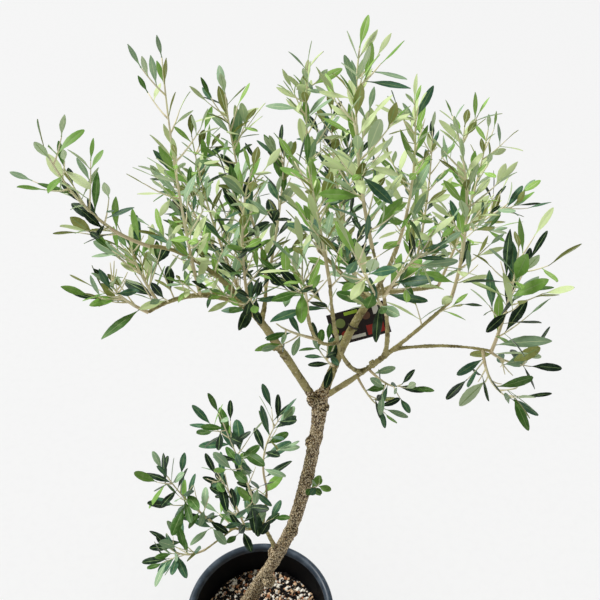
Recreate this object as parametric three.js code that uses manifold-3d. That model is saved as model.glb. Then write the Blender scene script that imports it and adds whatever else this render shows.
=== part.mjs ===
// A potted olive tree: one leaning trunk with a low side shoot, boughs that spread from a fork into an
// open round crown, and a black nursery pot filled with grit. Millimetres, Z up, with the origin at the
// centre of the pot's flat underside. The front of the tree faces -Y.

import * as THREE from "three";
import { mergeVertices } from "three/addons/utils/BufferGeometryUtils.js";
import Module from "manifold-3d";

const wasm = await Module();
wasm.setup();

// The gap between two neighbouring solids.
const GAP = 0.35;

// A limb's cut leaves slivers, and edges this short are taken out of it.
const FINEST = 0.04;

const POT = {
  height: 185,
  baseRadius: 77,
  neckRadius: 97.5,
  rimRadius: 108,
  mouthRadius: 97,
  lipHeight: 15,
  wall: 2.5,
  floor: 3,
  sides: 28,
};

// The level of the grit, which the trunk stands on.
const GROUND = 137;

const TRUNK = {
  route: [
    [-33, 19, 127],
    [-15, 30, 163],
    [3, 25, 223],
    [32, 18, 310],
    [52, 12, 391],
    [64, 8, 466],
    [72, 5, 526],
    [77, 2, 573],
    [79, 0, 607],
    [80, -1, 633],
  ],
  footRadius: 9.2,
  forkRadius: 7.2,
  flare: 6.4,
  flareShare: 0.075,
  knuckle: 1.3,
  knuckleAt: 0.95,
  knuckleShare: 0.035,
  sides: 10,
  rows: 18,
};

// Each limb leaves its parent's axis at the share `at` of its length and runs to `tip`. `bow` pushes its
// middle off the straight line, and `radii` are the radii at its two ends.
const LIMBS = {
  left_bough: { on: "trunk", at: 0.9, tip: [12, -30, 775], bow: [-6, 1, 16], radii: [4.7, 4] },
  left_arm: { on: "left_bough", at: 0.97, tip: [-71, -58, 791], bow: [1, 1, 16], radii: [3, 1.7] },
  left_rise: { on: "left_bough", at: 0.91, tip: [-59, -64, 862], bow: [-4, 8, 13], radii: [2.7, 1.5] },
  left_inner: { on: "left_bough", at: 0.8, tip: [24, 26, 792], bow: [3, -1, -7], radii: [2.3, 1.6] },
  left_back: { on: "left_bough", at: 0.87, tip: [-27, 80, 759], bow: [4, -2, -9], radii: [2.4, 1.6] },
  centre_bough: { on: "trunk", at: 0.935, tip: [135, 42, 736], bow: [-2, -3, 16], radii: [4.9, 3.8] },
  centre_left: { on: "centre_bough", at: 0.88, tip: [76, 55, 779], bow: [4, 0, -4], radii: [2.6, 1.7] },
  centre_leader: { on: "centre_bough", at: 0.96, tip: [149, 22, 806], bow: [1, -1, 0], radii: [2.6, 1.8] },
  centre_right: { on: "centre_bough", at: 0.99, tip: [206, 76, 718], bow: [2, 4, -4], radii: [2.8, 1.8] },
  centre_back: { on: "centre_bough", at: 0.97, tip: [225, 140, 735], bow: [3, 6, -13], radii: [2.6, 1.6] },
  centre_far: { on: "centre_bough", at: 0.93, tip: [110, 150, 722], bow: [-2, -1, -9], radii: [2.5, 1.6] },
  right_bough: { on: "trunk", at: 0.967, tip: [189, -40, 788], bow: [-1, -6, -2], radii: [3.7, 2.2] },
  right_arm: { on: "right_bough", at: 0.62, tip: [227, -62, 750], bow: [3, 0, 5], radii: [2.2, 1.6] },
  centre_shoot: { on: "right_bough", at: 0.55, tip: [114, -68, 863], bow: [7, 0, -8], radii: [2.3, 1.5] },
  front_shoot: { on: "right_bough", at: 0.38, tip: [82, -72, 831], bow: [-5, 2, -26], radii: [2.4, 1.5] },
  front_twig: { on: "front_shoot", at: 0.62, tip: [64, -84, 812], bow: [-4, 3, -17], radii: [1.7, 1.4] },
  low_shoot: { on: "trunk", at: 0.314, tip: [9, 2, 391], bow: [-1, 1, 8], radii: [2.7, 2] },
  low_left: { on: "low_shoot", at: 0.86, tip: [-46, -20, 426], bow: [1, 1, -9], radii: [1.8, 1.5] },
  low_front: { on: "low_left", at: 0.66, tip: [-58, -40, 402], bow: [3, -4, 8], radii: [1.6, 1.3] },
  low_right: { on: "low_shoot", at: 0.93, tip: [16, 8, 471], bow: [3, 3, 4], radii: [1.7, 1.4] },
};
const LIMB_SIDES = 6;
const LIMB_ROW = 28;

// Each mass of leaves has one leader, which leaves its limb like a limb does. `reach` is how far its leaves
// stand out from the leader, and `twigs` is how many side twigs the leader bears.
const MASSES = {
  far_left_low: { on: "left_arm", at: 1, tip: [-92, -74, 835], bow: [-5, -1, 0], reach: 50, twigs: 3 },
  left_arm_end: { on: "left_arm", at: 0.88, tip: [-80, -40, 848], bow: [-4, -1, 3], reach: 52, twigs: 3 },
  far_left: { on: "left_rise", at: 1, tip: [-113, -86, 955], bow: [-7, -2, -10], reach: 60, twigs: 5 },
  top_left: { on: "left_arm", at: 0.5, tip: [-37, -35, 998], bow: [1, -22, 9], reach: 56, twigs: 6 },
  left_front: { on: "left_bough", at: 0.94, tip: [19, -80, 824], bow: [0, -3, 6], reach: 48, twigs: 1 },
  left_mid: { on: "left_bough", at: 1, tip: [24, -58, 926], bow: [-6, 2, 13], reach: 56, twigs: 6 },
  upper_left: { on: "left_inner", at: 1, tip: [0, 8, 956], bow: [-6, 3, 6], reach: 58, twigs: 6 },
  inner_mid: { on: "left_inner", at: 0.6, tip: [45, 40, 903], bow: [4, 2, 4], reach: 52, twigs: 4 },
  back_left: { on: "left_back", at: 1, tip: [-74, 130, 833], bow: [-7, 10, -1], reach: 60, twigs: 4 },
  behind_left: { on: "left_back", at: 0.6, tip: [-40, 70, 892], bow: [-6, 10, -6], reach: 56, twigs: 4 },
  top_mid_left: { on: "centre_left", at: 1, tip: [64, 24, 976], bow: [-5, 0, 12], reach: 56, twigs: 6 },
  top_mid: { on: "centre_shoot", at: 1, tip: [96, -67, 1015], bow: [-8, -13, 14], reach: 54, twigs: 6 },
  top_right_mid: { on: "centre_leader", at: 1, tip: [146, 0, 954], bow: [5, -6, 3], reach: 56, twigs: 6 },
  top_right: { on: "centre_right", at: 1, tip: [235, 96, 887], bow: [8, 6, 0], reach: 60, twigs: 5 },
  right_back: { on: "centre_back", at: 1, tip: [309, 178, 773], bow: [3, 5, -7], reach: 60, twigs: 5 },
  behind_right: { on: "centre_back", at: 0.5, tip: [192, 140, 866], bow: [6, 10, -4], reach: 58, twigs: 4 },
  back_mid: { on: "centre_far", at: 1, tip: [115, 190, 833], bow: [-3, 10, -14], reach: 62, twigs: 4 },
  behind_mid: { on: "centre_far", at: 0.5, tip: [88, 110, 898], bow: [-6, 12, 2], reach: 56, twigs: 3 },
  right: { on: "right_arm", at: 1, tip: [219, -90, 876], bow: [4, 3, 0], reach: 58, twigs: 6 },
  right_end: { on: "right_arm", at: 0.98, tip: [268, -54, 724], bow: [-2, 4, -6], reach: 48, twigs: 2 },
  right_under: { on: "right_arm", at: 0.9, tip: [244, -86, 716], bow: [-5, -5, -4], reach: 46, twigs: 2 },
  right_mid: { on: "right_bough", at: 1, tip: [177, 0, 941], bow: [8, -15, 13], reach: 56, twigs: 6 },
  front: { on: "front_twig", at: 1, tip: [58, -112, 868], bow: [1, -1, 6], reach: 56, twigs: 4 },
  front_mid: { on: "front_shoot", at: 1, tip: [64, -46, 922], bow: [0, 4, 1], reach: 52, twigs: 4 },
  front_right: { on: "centre_shoot", at: 0.5, tip: [94, -112, 892], bow: [-5, -16, 17], reach: 58, twigs: 5 },
  right_front: { on: "centre_shoot", at: 0.66, tip: [150, -98, 880], bow: [-2, -8, 12], reach: 52, twigs: 4 },
  low_right: { on: "right_bough", at: 0.42, tip: [153, -56, 703], bow: [3, -5, -6], reach: 41, twigs: 1 },
  under_right: { on: "right_bough", at: 0.33, tip: [143, -38, 650], bow: [1, -3, -7], reach: 41, twigs: 1 },
  low_left: { on: "front_twig", at: 0.55, tip: [39, -86, 802], bow: [-4, -2, 1], reach: 42, twigs: 1 },
  fork: { on: "centre_bough", at: 0.28, tip: [78, -14, 705], bow: [1, -4, 0], reach: 39, twigs: 1 },
  trunk_side: { on: "trunk", at: 0.546, tip: [81, -8, 490], bow: [3, -3, 0], reach: 30, twigs: 0 },
  low_far_left: { on: "low_left", at: 1, tip: [-90, -28, 528], bow: [-5, -1, 2], reach: 54, twigs: 5 },
  low_mid: { on: "low_left", at: 0.4, tip: [-38, -12, 518], bow: [1, 2, 0], reach: 52, twigs: 4 },
  low_front: { on: "low_front", at: 1, tip: [-99, -50, 424], bow: [-3, -2, -10], reach: 54, twigs: 4 },
  low_up: { on: "low_shoot", at: 1, tip: [-28, -14, 618], bow: [2, -4, 8], reach: 56, twigs: 7 },
  low_up_right: { on: "low_right", at: 1, tip: [38, 20, 578], bow: [-10, 0, 0], reach: 46, twigs: 3 },
};

const TWIG = {
  leaderRadii: [1.8, 1.1],
  radii: [1.4, 1],
  sides: 3,
  leaderRow: 45,
  firstShare: 0.06,
  lastShare: 0.88,
  lean: 50,
  leanSpread: 24,
  lengthShare: 0.52,
  shortening: 0.4,
  lift: 0.25,
};

const LEAF = {
  reachShare: 0.73,
  widthShare: 0.3,
  thick: 1.4,
  angle: 44,
  angleSpread: 16,
  widestShare: 0.44,
  pairStep: 19,
  firstPair: 14,
  lastPair: 6,
  endAngle: 8,
  leaderFirst: 12,
  skyward: 0.5,
  apart: 8,
  probes: [0.35, 0.6, 1],
};
const GOLDEN_TURN = THREE.MathUtils.degToRad(137.5);
const QUARTER_TURN = Math.PI / 2;
const UP = new THREE.Vector3(0, 0, 1);
// A fixed direction that the turns about a twig are counted from.
const TURN_ZERO = new THREE.Vector3(0.35, 0.9, -0.25).normalize();

const TAG = {
  limb: "centre_bough",
  at: 0.62,
  width: 60,
  height: 34,
  thick: 0.8,
  shift: -6,
  slope: 20,
  setBack: 1.2,
  wire: 0.9,
  wireSides: 4,
  ringSides: 10,
};

const COLOURS = {
  bark: 0x857a68,
  wood: 0x8d8458,
  leaf: 0x64805a,
  pot: 0x1d1e22,
  soil: 0x8a7762,
  tag: 0x241c1c,
};

// A point or direction from its three coordinates.
const vector = (xyz) => new THREE.Vector3(...xyz);

// A repeatable number from 0 to 1 for one draw on one twig of one mass. Twig 0 is the mass's leader.
const chance = (mass, twig, draw) => THREE.MathUtils.seededRandom(mass * 4096 + twig * 32 + draw);

// The turn of the first pair of leaves about its twig.
const firstTurn = (mass, twig) => 2 * Math.PI * chance(mass, twig, 5);

// A closed geometry as a solid that can be joined and cut.
function solidOf(geometry) {
  const bare = geometry.clone();
  bare.deleteAttribute("normal");
  bare.deleteAttribute("uv");
  const welded = mergeVertices(bare, 1e-3);
  return new wasm.Manifold(
    new wasm.Mesh({
      numProp: 3,
      vertProperties: welded.attributes.position.array,
      triVerts: new Uint32Array(welded.index.array),
    }),
  );
}

// The largest body of a solid, without any scraps that a cut has left.
function largestBody(solid) {
  return solid.decompose().reduce((most, body) => (body.volume() > most.volume() ? body : most));
}

// A named mesh of a solid.
function meshOf(name, solid, material) {
  const { vertProperties, triVerts } = solid.getMesh();
  const geometry = new THREE.BufferGeometry()
    .setAttribute("position", new THREE.BufferAttribute(vertProperties, 3))
    .setIndex(new THREE.BufferAttribute(triVerts, 1));
  geometry.computeVertexNormals();
  const mesh = new THREE.Mesh(geometry, material);
  mesh.name = name;
  return mesh;
}

// The axis of a limb or leader: a curve whose middle is pushed off the straight line.
function bowedAxis(start, tip, bow) {
  const control = start.clone().lerp(tip, 0.5).addScaledVector(bow, 2);
  return new THREE.QuadraticBezierCurve3(start, control, tip);
}

// The direction square to `heading` at an angle round it.
function sideways(heading, angle) {
  return new THREE.Vector3().crossVectors(heading, TURN_ZERO).normalize().applyAxisAngle(heading, angle);
}

// A closed tube along an axis, whose radius changes with the share of the length. `turn` turns its flat
// sides about the axis.
function tube(axis, sides, rows, radiusAt, turn = 0) {
  const form = new THREE.CylinderGeometry(1, 1, 1, sides, rows);
  const spot = form.getAttribute("position");
  for (let i = 0; i < spot.count; i += 1) {
    const share = spot.getY(i) + 0.5;
    const tangent = axis.getTangentAt(share);
    const across = sideways(tangent, turn);
    const point = axis
      .getPointAt(share)
      .addScaledVector(across, radiusAt(share) * spot.getX(i))
      .addScaledVector(across.cross(tangent), radiusAt(share) * spot.getZ(i));
    spot.setXYZ(i, point.x, point.y, point.z);
  }
  return solidOf(form);
}

// The distance from a point to a route of short straight lines.
function distanceTo(route, point) {
  const nearest = new THREE.Vector3();
  let least = Infinity;
  for (let i = 1; i < route.length; i += 1) {
    new THREE.Line3(route[i - 1], route[i]).closestPointToPoint(point, true, nearest);
    least = Math.min(least, nearest.distanceTo(point));
  }
  return least;
}

// A radius that changes evenly between its two ends.
const evenTaper = (radii) => (share) => THREE.MathUtils.lerp(radii[0], radii[1], share);

// The trunk's radius: a slow taper, a flared foot and a knuckle at the fork.
function trunkRadius(share) {
  const taper = THREE.MathUtils.lerp(TRUNK.footRadius, TRUNK.forkRadius, share);
  const flare = TRUNK.flare * Math.exp(-share / TRUNK.flareShare);
  const knuckle = TRUNK.knuckle * Math.exp(-(((share - TRUNK.knuckleAt) / TRUNK.knuckleShare) ** 2));
  return taper + flare + knuckle;
}

// The trunk, cut flat just above the grit.
function buildTrunk() {
  const axis = new THREE.CatmullRomCurve3(TRUNK.route.map(vector), false, "catmullrom", 0.5);
  const below = new THREE.BoxGeometry(POT.rimRadius, POT.rimRadius, POT.height);
  const [x, y] = TRUNK.route[0];
  below.translate(x, y, GROUND + GAP - POT.height / 2);
  const solid = tube(axis, TRUNK.sides, TRUNK.rows, trunkRadius).subtract(solidOf(below));
  const keepOut = tube(axis, TRUNK.sides, TRUNK.rows, (share) => trunkRadius(share) + GAP);
  return { axis, radiusAt: trunkRadius, solid, keepOut };
}

// A limb on a parent that is already built, cut clear of every limb before it.
function buildLimb(limb, built) {
  const start = built.get(limb.on).axis.getPoint(limb.at);
  const axis = bowedAxis(start, vector(limb.tip), vector(limb.bow));
  const rows = Math.ceil(axis.getLength() / LIMB_ROW);
  const radiusAt = evenTaper(limb.radii);
  let solid = tube(axis, LIMB_SIDES, rows, radiusAt);
  for (const other of built.values()) solid = solid.subtract(other.keepOut);
  const keepOut = tube(axis, LIMB_SIDES, rows, (share) => radiusAt(share) + GAP);
  return { axis, radiusAt, solid: largestBody(solid).simplify(FINEST), keepOut };
}

// One leaf, a slim body of six faces with its midrib below, from `base` along `heading`. Its upper side
// looks along `face`.
function leafSolid(leaf) {
  const outline = [
    [0, 0],
    [1, LEAF.widestShare],
    [0, 1],
  ];
  const form = new THREE.LatheGeometry(outline.map(([x, y]) => new THREE.Vector2(x, y)), 3);
  const width = LEAF.widthShare * leaf.length;
  form.rotateY(Math.PI).scale(width / Math.sqrt(3), leaf.length, LEAF.thick / 1.5);
  const side = new THREE.Vector3().crossVectors(leaf.heading, leaf.face);
  form.applyMatrix4(new THREE.Matrix4().makeBasis(side, leaf.heading, leaf.face).setPosition(leaf.base));
  return solidOf(form);
}

// The points along a leaf's midrib where its room is tested.
function leafProbes(leaf) {
  return LEAF.probes.map((share) => leaf.base.clone().addScaledVector(leaf.heading, share * leaf.length));
}

// A leaf on an axis at a share of its length, at an angle round it and off it.
function leafOn(axis, share, turn, angle) {
  const tangent = axis.getTangentAt(share);
  const heading = tangent
    .clone()
    .multiplyScalar(Math.cos(angle))
    .addScaledVector(sideways(tangent, turn), Math.sin(angle))
    .normalize();
  const face = tangent.clone().addScaledVector(UP, LEAF.skyward);
  face.addScaledVector(heading, -face.dot(heading)).normalize();
  return { base: axis.getPointAt(share), heading, face };
}

// The leaves of one twig: opposite pairs, each a quarter turn on from the last, and one at its end.
function leavesOf(twig, mass, order, from) {
  const length = twig.getLength();
  const phase = firstTurn(mass.index, order);
  const leaves = [];
  let pair = 0;
  for (let run = from; run < length - LEAF.lastPair; run += LEAF.pairStep) {
    for (const half of [0, 1]) {
      const spread = chance(mass.index, order, 6 + 2 * pair + half) - 0.5;
      const angle = THREE.MathUtils.degToRad(LEAF.angle + LEAF.angleSpread * spread);
      const turn = phase + QUARTER_TURN * pair + Math.PI * half;
      leaves.push({ ...leafOn(twig, run / length, turn, angle), length: mass.leafLength });
    }
    pair += 1;
  }
  const end = leafOn(twig, 1, phase, THREE.MathUtils.degToRad(LEAF.endAngle));
  leaves.push({ ...end, length: mass.leafLength });
  return leaves;
}

// The side twigs of a mass, which wind up its leader and bend towards the light.
function twigsOf(mass) {
  const { axis, index } = mass;
  const twigs = [];
  for (let i = 0; i < mass.twigs; i += 1) {
    const place = (i + 0.3 + 0.4 * chance(index, i + 1, 0)) / mass.twigs;
    const share = THREE.MathUtils.lerp(TWIG.firstShare, TWIG.lastShare, place);
    const lean = THREE.MathUtils.degToRad(TWIG.lean + TWIG.leanSpread * (chance(index, i + 1, 1) - 0.5));
    const turn = GOLDEN_TURN * i + 2 * Math.PI * chance(index, 0, 2);
    const size = 0.8 + 0.2 * chance(index, i + 1, 3);
    const length = mass.reach * TWIG.lengthShare * size * (1 - TWIG.shortening * share * share);
    const base = axis.getPointAt(share);
    const tangent = axis.getTangentAt(share);
    const heading = tangent
      .clone()
      .multiplyScalar(Math.cos(lean))
      .addScaledVector(sideways(tangent, turn), Math.sin(lean));
    const rise = heading.addScaledVector(UP, TWIG.lift);
    twigs.push(new THREE.LineCurve3(base, base.clone().addScaledVector(rise, length)));
  }
  return twigs;
}

// Whether a point is in the space of a mass: no further out than its reach, and nearer to its leader than
// to any other, in shares of their reaches.
function inSpace(point, own, masses) {
  const near = distanceTo(own.route, point) / own.reach;
  const isNearer = (other) => other === own || near < distanceTo(other.route, point) / other.reach;
  return near < 1 && masses.every(isNearer);
}

// The leaves of one axis that have room, added to those that the mass already has.
function addLeaves(leaves, axis, mass, order, from, hasRoom) {
  for (const leaf of leavesOf(axis, mass, order, from)) {
    leaf.probes = leafProbes(leaf);
    leaf.solid = leafSolid(leaf);
    const crowded = leaves.some((other) =>
      leaf.probes.some((probe) => other.probes.some((point) => point.distanceTo(probe) < LEAF.apart)),
    );
    if (!crowded && hasRoom(leaf.solid, leaf.probes)) leaves.push(leaf);
  }
}

// One mass: its leader, side twigs and leaves, joined to one body and cut clear of the limbs. A twig or
// leaf is left out where it would leave the mass's space or come within the gap of anything in `others`.
function buildMass(mass, masses, limbs, others) {
  const hasRoom = (solid, probes) =>
    probes.every((probe) => inSpace(probe, mass, masses)) &&
    others.every((other) => solid.minGap(other, GAP) >= GAP);
  const parts = [mass.stem];
  const leaves = [];
  addLeaves(leaves, mass.axis, mass, 0, LEAF.leaderFirst, hasRoom);
  twigsOf(mass).forEach((twig, i) => {
    const solid = tube(twig, TWIG.sides, 1, evenTaper(TWIG.radii), firstTurn(mass.index, i + 1));
    if (!hasRoom(solid, [twig.getPoint(0.5), twig.getPoint(1)])) return;
    parts.push(solid);
    addLeaves(leaves, twig, mass, i + 1, LEAF.firstPair, hasRoom);
  });
  let solid = wasm.Manifold.union([...parts, ...leaves.map((leaf) => leaf.solid)]);
  for (const limb of limbs.values()) solid = solid.subtract(limb.keepOut);
  return largestBody(solid);
}

// The pot: one turned wall with a rolled lip and a flat floor.
function buildPot() {
  const { height, baseRadius, neckRadius, rimRadius, mouthRadius, lipHeight, wall, floor } = POT;
  const neck = height - lipHeight;
  const profile = [
    [0, 0],
    [baseRadius, 0],
    [neckRadius, neck],
    [rimRadius - 1, neck],
    [rimRadius, height - 5],
    [rimRadius - 4, height],
    [mouthRadius + 2, height],
    [mouthRadius, height - 4],
    [neckRadius - wall, neck],
    [baseRadius - wall, floor],
    [0, floor],
  ];
  const form = new THREE.LatheGeometry(
    profile.map(([x, y]) => new THREE.Vector2(x, y)),
    POT.sides,
  );
  return solidOf(form.rotateX(Math.PI / 2));
}

// The grit that fills the pot up to the foot of the trunk.
function buildSoil() {
  const bottom = POT.floor + GAP;
  const neck = POT.height - POT.lipHeight;
  const insideAt = (level) =>
    THREE.MathUtils.mapLinear(level, POT.floor, neck, POT.baseRadius, POT.neckRadius) - POT.wall - GAP;
  const form = new THREE.CylinderGeometry(insideAt(GROUND), insideAt(bottom), GROUND - bottom, POT.sides);
  return solidOf(form.rotateX(Math.PI / 2).translate(0, 0, (GROUND + bottom) / 2));
}

// Where the tag hangs: flat behind its bough, with its long side rising to the right.
function tagPlace(limb) {
  const point = limb.axis.getPoint(TAG.at);
  const along = limb.axis.getTangent(TAG.at);
  const normal = new THREE.Vector3(0, -1, 0.8);
  normal.addScaledVector(along, -normal.dot(along)).normalize();
  const level = new THREE.Vector3().crossVectors(UP, normal).negate().normalize();
  const long = level.applyAxisAngle(normal, THREE.MathUtils.degToRad(TAG.slope));
  const short = new THREE.Vector3().crossVectors(normal, long);
  const depth = limb.radiusAt(TAG.at) + TAG.setBack + TAG.thick / 2;
  const centre = point.clone().addScaledVector(normal, -depth).addScaledVector(long, TAG.shift);
  return { point, along, matrix: new THREE.Matrix4().makeBasis(long, short, normal).setPosition(centre) };
}

// The tag: a thin card with a ring of wire round the bough.
function buildTag(limbs) {
  const limb = limbs.get(TAG.limb);
  const { point, along, matrix } = tagPlace(limb);
  const card = new THREE.BoxGeometry(TAG.width, TAG.height, TAG.thick).applyMatrix4(matrix);
  const ringRadius = limb.radiusAt(TAG.at) + GAP + TAG.wire;
  const ring = new THREE.TorusGeometry(ringRadius, TAG.wire, TAG.wireSides, TAG.ringSides);
  ring.applyQuaternion(new THREE.Quaternion().setFromUnitVectors(UP, along));
  ring.translate(point.x, point.y, point.z);
  let solid = solidOf(card).add(solidOf(ring));
  for (const other of limbs.values()) solid = solid.subtract(other.keepOut);
  return largestBody(solid);
}

const finish = (color, roughness) => new THREE.MeshStandardMaterial({ color, roughness, metalness: 0 });

const tree = new THREE.Group();
tree.name = "potted_olive_tree";
tree.add(meshOf("pot", buildPot(), finish(COLOURS.pot, 0.45)));
tree.add(meshOf("soil", buildSoil(), finish(COLOURS.soil, 0.95)));

const limbs = new Map([["trunk", buildTrunk()]]);
for (const [name, limb] of Object.entries(LIMBS)) limbs.set(name, buildLimb(limb, limbs));
for (const [name, { solid }] of limbs) {
  tree.add(meshOf(name, solid, finish(name === "trunk" ? COLOURS.bark : COLOURS.wood, 0.85)));
}

const tag = buildTag(limbs);
tree.add(meshOf("hang_tag", tag, finish(COLOURS.tag, 0.4)));

const masses = Object.entries(MASSES).map(([name, mass], index) => {
  const start = limbs.get(mass.on).axis.getPoint(mass.at);
  const axis = bowedAxis(start, vector(mass.tip), vector(mass.bow));
  const rows = Math.ceil(axis.getLength() / TWIG.leaderRow);
  const stem = tube(axis, TWIG.sides, rows, evenTaper(TWIG.leaderRadii), firstTurn(index, 0));
  const leafLength = LEAF.reachShare * mass.reach;
  return { ...mass, name, index, axis, stem, leafLength, route: axis.getPoints(rows) };
});
const others = [...limbs.values()].map((limb) => limb.solid).concat(tag);
for (const mass of masses) {
  const stems = masses.filter((other) => other !== mass).map((other) => other.stem);
  const solid = buildMass(mass, masses, limbs, [...others, ...stems]);
  others.push(solid);
  tree.add(meshOf(`leaves_${mass.name}`, solid, finish(COLOURS.leaf, 0.6)));
}

export default tree;
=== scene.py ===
"""A potted olive tree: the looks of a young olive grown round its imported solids.

Sizes in the plans are millimetres, as the solids have them, and MM turns them into metres. The front of the
tree faces -Y and +Z is up.
"""

import logging
import math
import random
from collections.abc import Callable, Iterator, Sequence
from dataclasses import dataclass, field
from enum import Enum

import bpy
import numpy as np
from mathutils import Matrix, Quaternion, Vector, noise


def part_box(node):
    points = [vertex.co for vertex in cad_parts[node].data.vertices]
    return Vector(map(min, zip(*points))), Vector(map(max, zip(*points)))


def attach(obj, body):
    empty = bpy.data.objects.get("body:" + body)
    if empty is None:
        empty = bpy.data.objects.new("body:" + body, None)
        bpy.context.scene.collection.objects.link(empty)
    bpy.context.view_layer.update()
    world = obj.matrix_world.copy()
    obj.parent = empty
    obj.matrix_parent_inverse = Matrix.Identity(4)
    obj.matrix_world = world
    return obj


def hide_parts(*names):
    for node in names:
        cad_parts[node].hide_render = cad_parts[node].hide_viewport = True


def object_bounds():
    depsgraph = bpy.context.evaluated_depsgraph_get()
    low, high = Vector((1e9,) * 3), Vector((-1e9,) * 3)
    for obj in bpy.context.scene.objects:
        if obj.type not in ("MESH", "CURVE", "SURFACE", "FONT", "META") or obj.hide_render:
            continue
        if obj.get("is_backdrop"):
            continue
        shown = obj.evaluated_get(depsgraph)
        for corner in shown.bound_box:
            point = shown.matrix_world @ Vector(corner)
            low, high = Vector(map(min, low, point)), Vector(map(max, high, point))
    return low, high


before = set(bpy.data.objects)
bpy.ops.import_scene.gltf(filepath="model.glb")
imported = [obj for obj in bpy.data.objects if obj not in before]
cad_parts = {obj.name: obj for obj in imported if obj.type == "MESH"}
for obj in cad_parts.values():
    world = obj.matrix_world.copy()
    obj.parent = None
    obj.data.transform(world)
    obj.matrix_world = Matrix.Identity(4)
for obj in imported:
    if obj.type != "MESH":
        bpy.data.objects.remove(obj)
CAD_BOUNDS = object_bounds()

LOG = logging.getLogger("potted_olive")

MM = 0.001
BODY = "root"
UP = Vector((0.0, 0.0, 1.0))
# A fixed direction that the turns about a twig are counted from.
TURN_ZERO = Vector((0.35, 0.9, -0.25)).normalized()
GOLDEN_TURN = math.radians(137.5)
QUARTER_TURN = math.pi / 2

# How many short lines the axis of a limb is kept as, and how many of them each stretch of the trunk takes.
CURVE_STEPS = 120
ROUTE_STEPS = CURVE_STEPS // 6
# Every how many points of its axis a limb is looked at when leaves are kept clear of it.
WOOD_STRIDE = 4
# The shares of a leaf's length at which its room is tested.
PROBE_SHARES = (0.35, 0.6, 1.0)

Point = tuple[float, float, float]


@dataclass(frozen=True)
class LimbPlan:
    """Where one limb grows.

    It leaves its parent's axis at the share `at` and runs to `tip`. `bow` pushes its middle off the
    straight line, and `radii` are the radii at its two ends.
    """

    on: str
    at: float
    tip: Point
    bow: Point
    radii: tuple[float, float]


class Spray(Enum):
    """The families of leaf colour, by the light in which a mass grows; their tints are painted light and
    shade.
    """

    TOP = "top"
    SIDE = "side"
    INNER = "inner"
    LOW = "low"
    BUD = "bud"


@dataclass(frozen=True)
class MassPlan:
    """Where one mass of leaves grows.

    Its leader leaves a limb as a limb does. `reach` is how far leaves stand out from it, `twigs` is how
    many side twigs it bears in the solid, `leaf` is the length of a full-grown leaf, and `fullness` is how
    many twigs and leaves it bears against an even mass.
    """

    on: str
    at: float
    tip: Point
    bow: Point
    reach: float
    twigs: int
    spray: Spray
    leaf: float
    fullness: float


TRUNK_ROUTE: tuple[Point, ...] = (
    (-33, 19, 127),
    (-15, 30, 163),
    (3, 25, 223),
    (32, 18, 310),
    (52, 12, 391),
    (64, 8, 466),
    (72, 5, 526),
    (77, 2, 573),
    (79, 0, 607),
    (80, -1, 633),
)

LIMBS: dict[str, LimbPlan] = {
    "left_bough": LimbPlan("trunk", 0.9, (12, -30, 775), (-6, 1, 16), (4.5, 3.7)),
    "left_arm": LimbPlan("left_bough", 0.97, (-71, -58, 791), (1, 1, 16), (3, 1.7)),
    "left_rise": LimbPlan("left_bough", 0.91, (-59, -64, 862), (-4, 8, 13), (2.7, 1.5)),
    "left_inner": LimbPlan("left_bough", 0.8, (24, 26, 792), (3, -1, -7), (2.3, 1.6)),
    "left_back": LimbPlan("left_bough", 0.87, (-27, 80, 759), (4, -2, -9), (2.4, 1.6)),
    "centre_bough": LimbPlan("trunk", 0.935, (135, 42, 736), (-2, -3, 16), (4.9, 3.8)),
    "centre_left": LimbPlan("centre_bough", 0.88, (76, 55, 779), (4, 0, -4), (2.6, 1.7)),
    "centre_leader": LimbPlan("centre_bough", 0.96, (149, 22, 806), (1, -1, 0), (2.6, 1.8)),
    "centre_right": LimbPlan("centre_bough", 0.99, (206, 76, 718), (2, 4, -4), (2.8, 1.8)),
    "centre_back": LimbPlan("centre_bough", 0.97, (225, 140, 735), (3, 6, -13), (2.6, 1.6)),
    "centre_far": LimbPlan("centre_bough", 0.93, (110, 150, 722), (-2, -1, -9), (2.5, 1.6)),
    "right_bough": LimbPlan("trunk", 0.967, (189, -40, 788), (-1, -6, -2), (3.3, 1.6)),
    "right_arm": LimbPlan("right_bough", 0.62, (227, -62, 750), (3, 0, 5), (1.9, 1.4)),
    "centre_shoot": LimbPlan("right_bough", 0.55, (114, -68, 863), (7, 0, -8), (2.3, 1.5)),
    "front_shoot": LimbPlan("right_bough", 0.38, (82, -72, 831), (-5, 2, -26), (2.4, 1.5)),
    "front_twig": LimbPlan("front_shoot", 0.62, (64, -84, 812), (-4, 3, -17), (1.7, 1.4)),
    "low_shoot": LimbPlan("trunk", 0.314, (9, 2, 391), (-1, 1, 8), (3.4, 2.2)),
    "low_left": LimbPlan("low_shoot", 0.86, (-46, -20, 426), (1, 1, -9), (1.8, 1.5)),
    "low_front": LimbPlan("low_left", 0.66, (-58, -40, 402), (3, -4, 8), (1.6, 1.3)),
    "low_right": LimbPlan("low_shoot", 0.93, (16, 8, 471), (3, 3, 4), (1.7, 1.4)),
}

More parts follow.
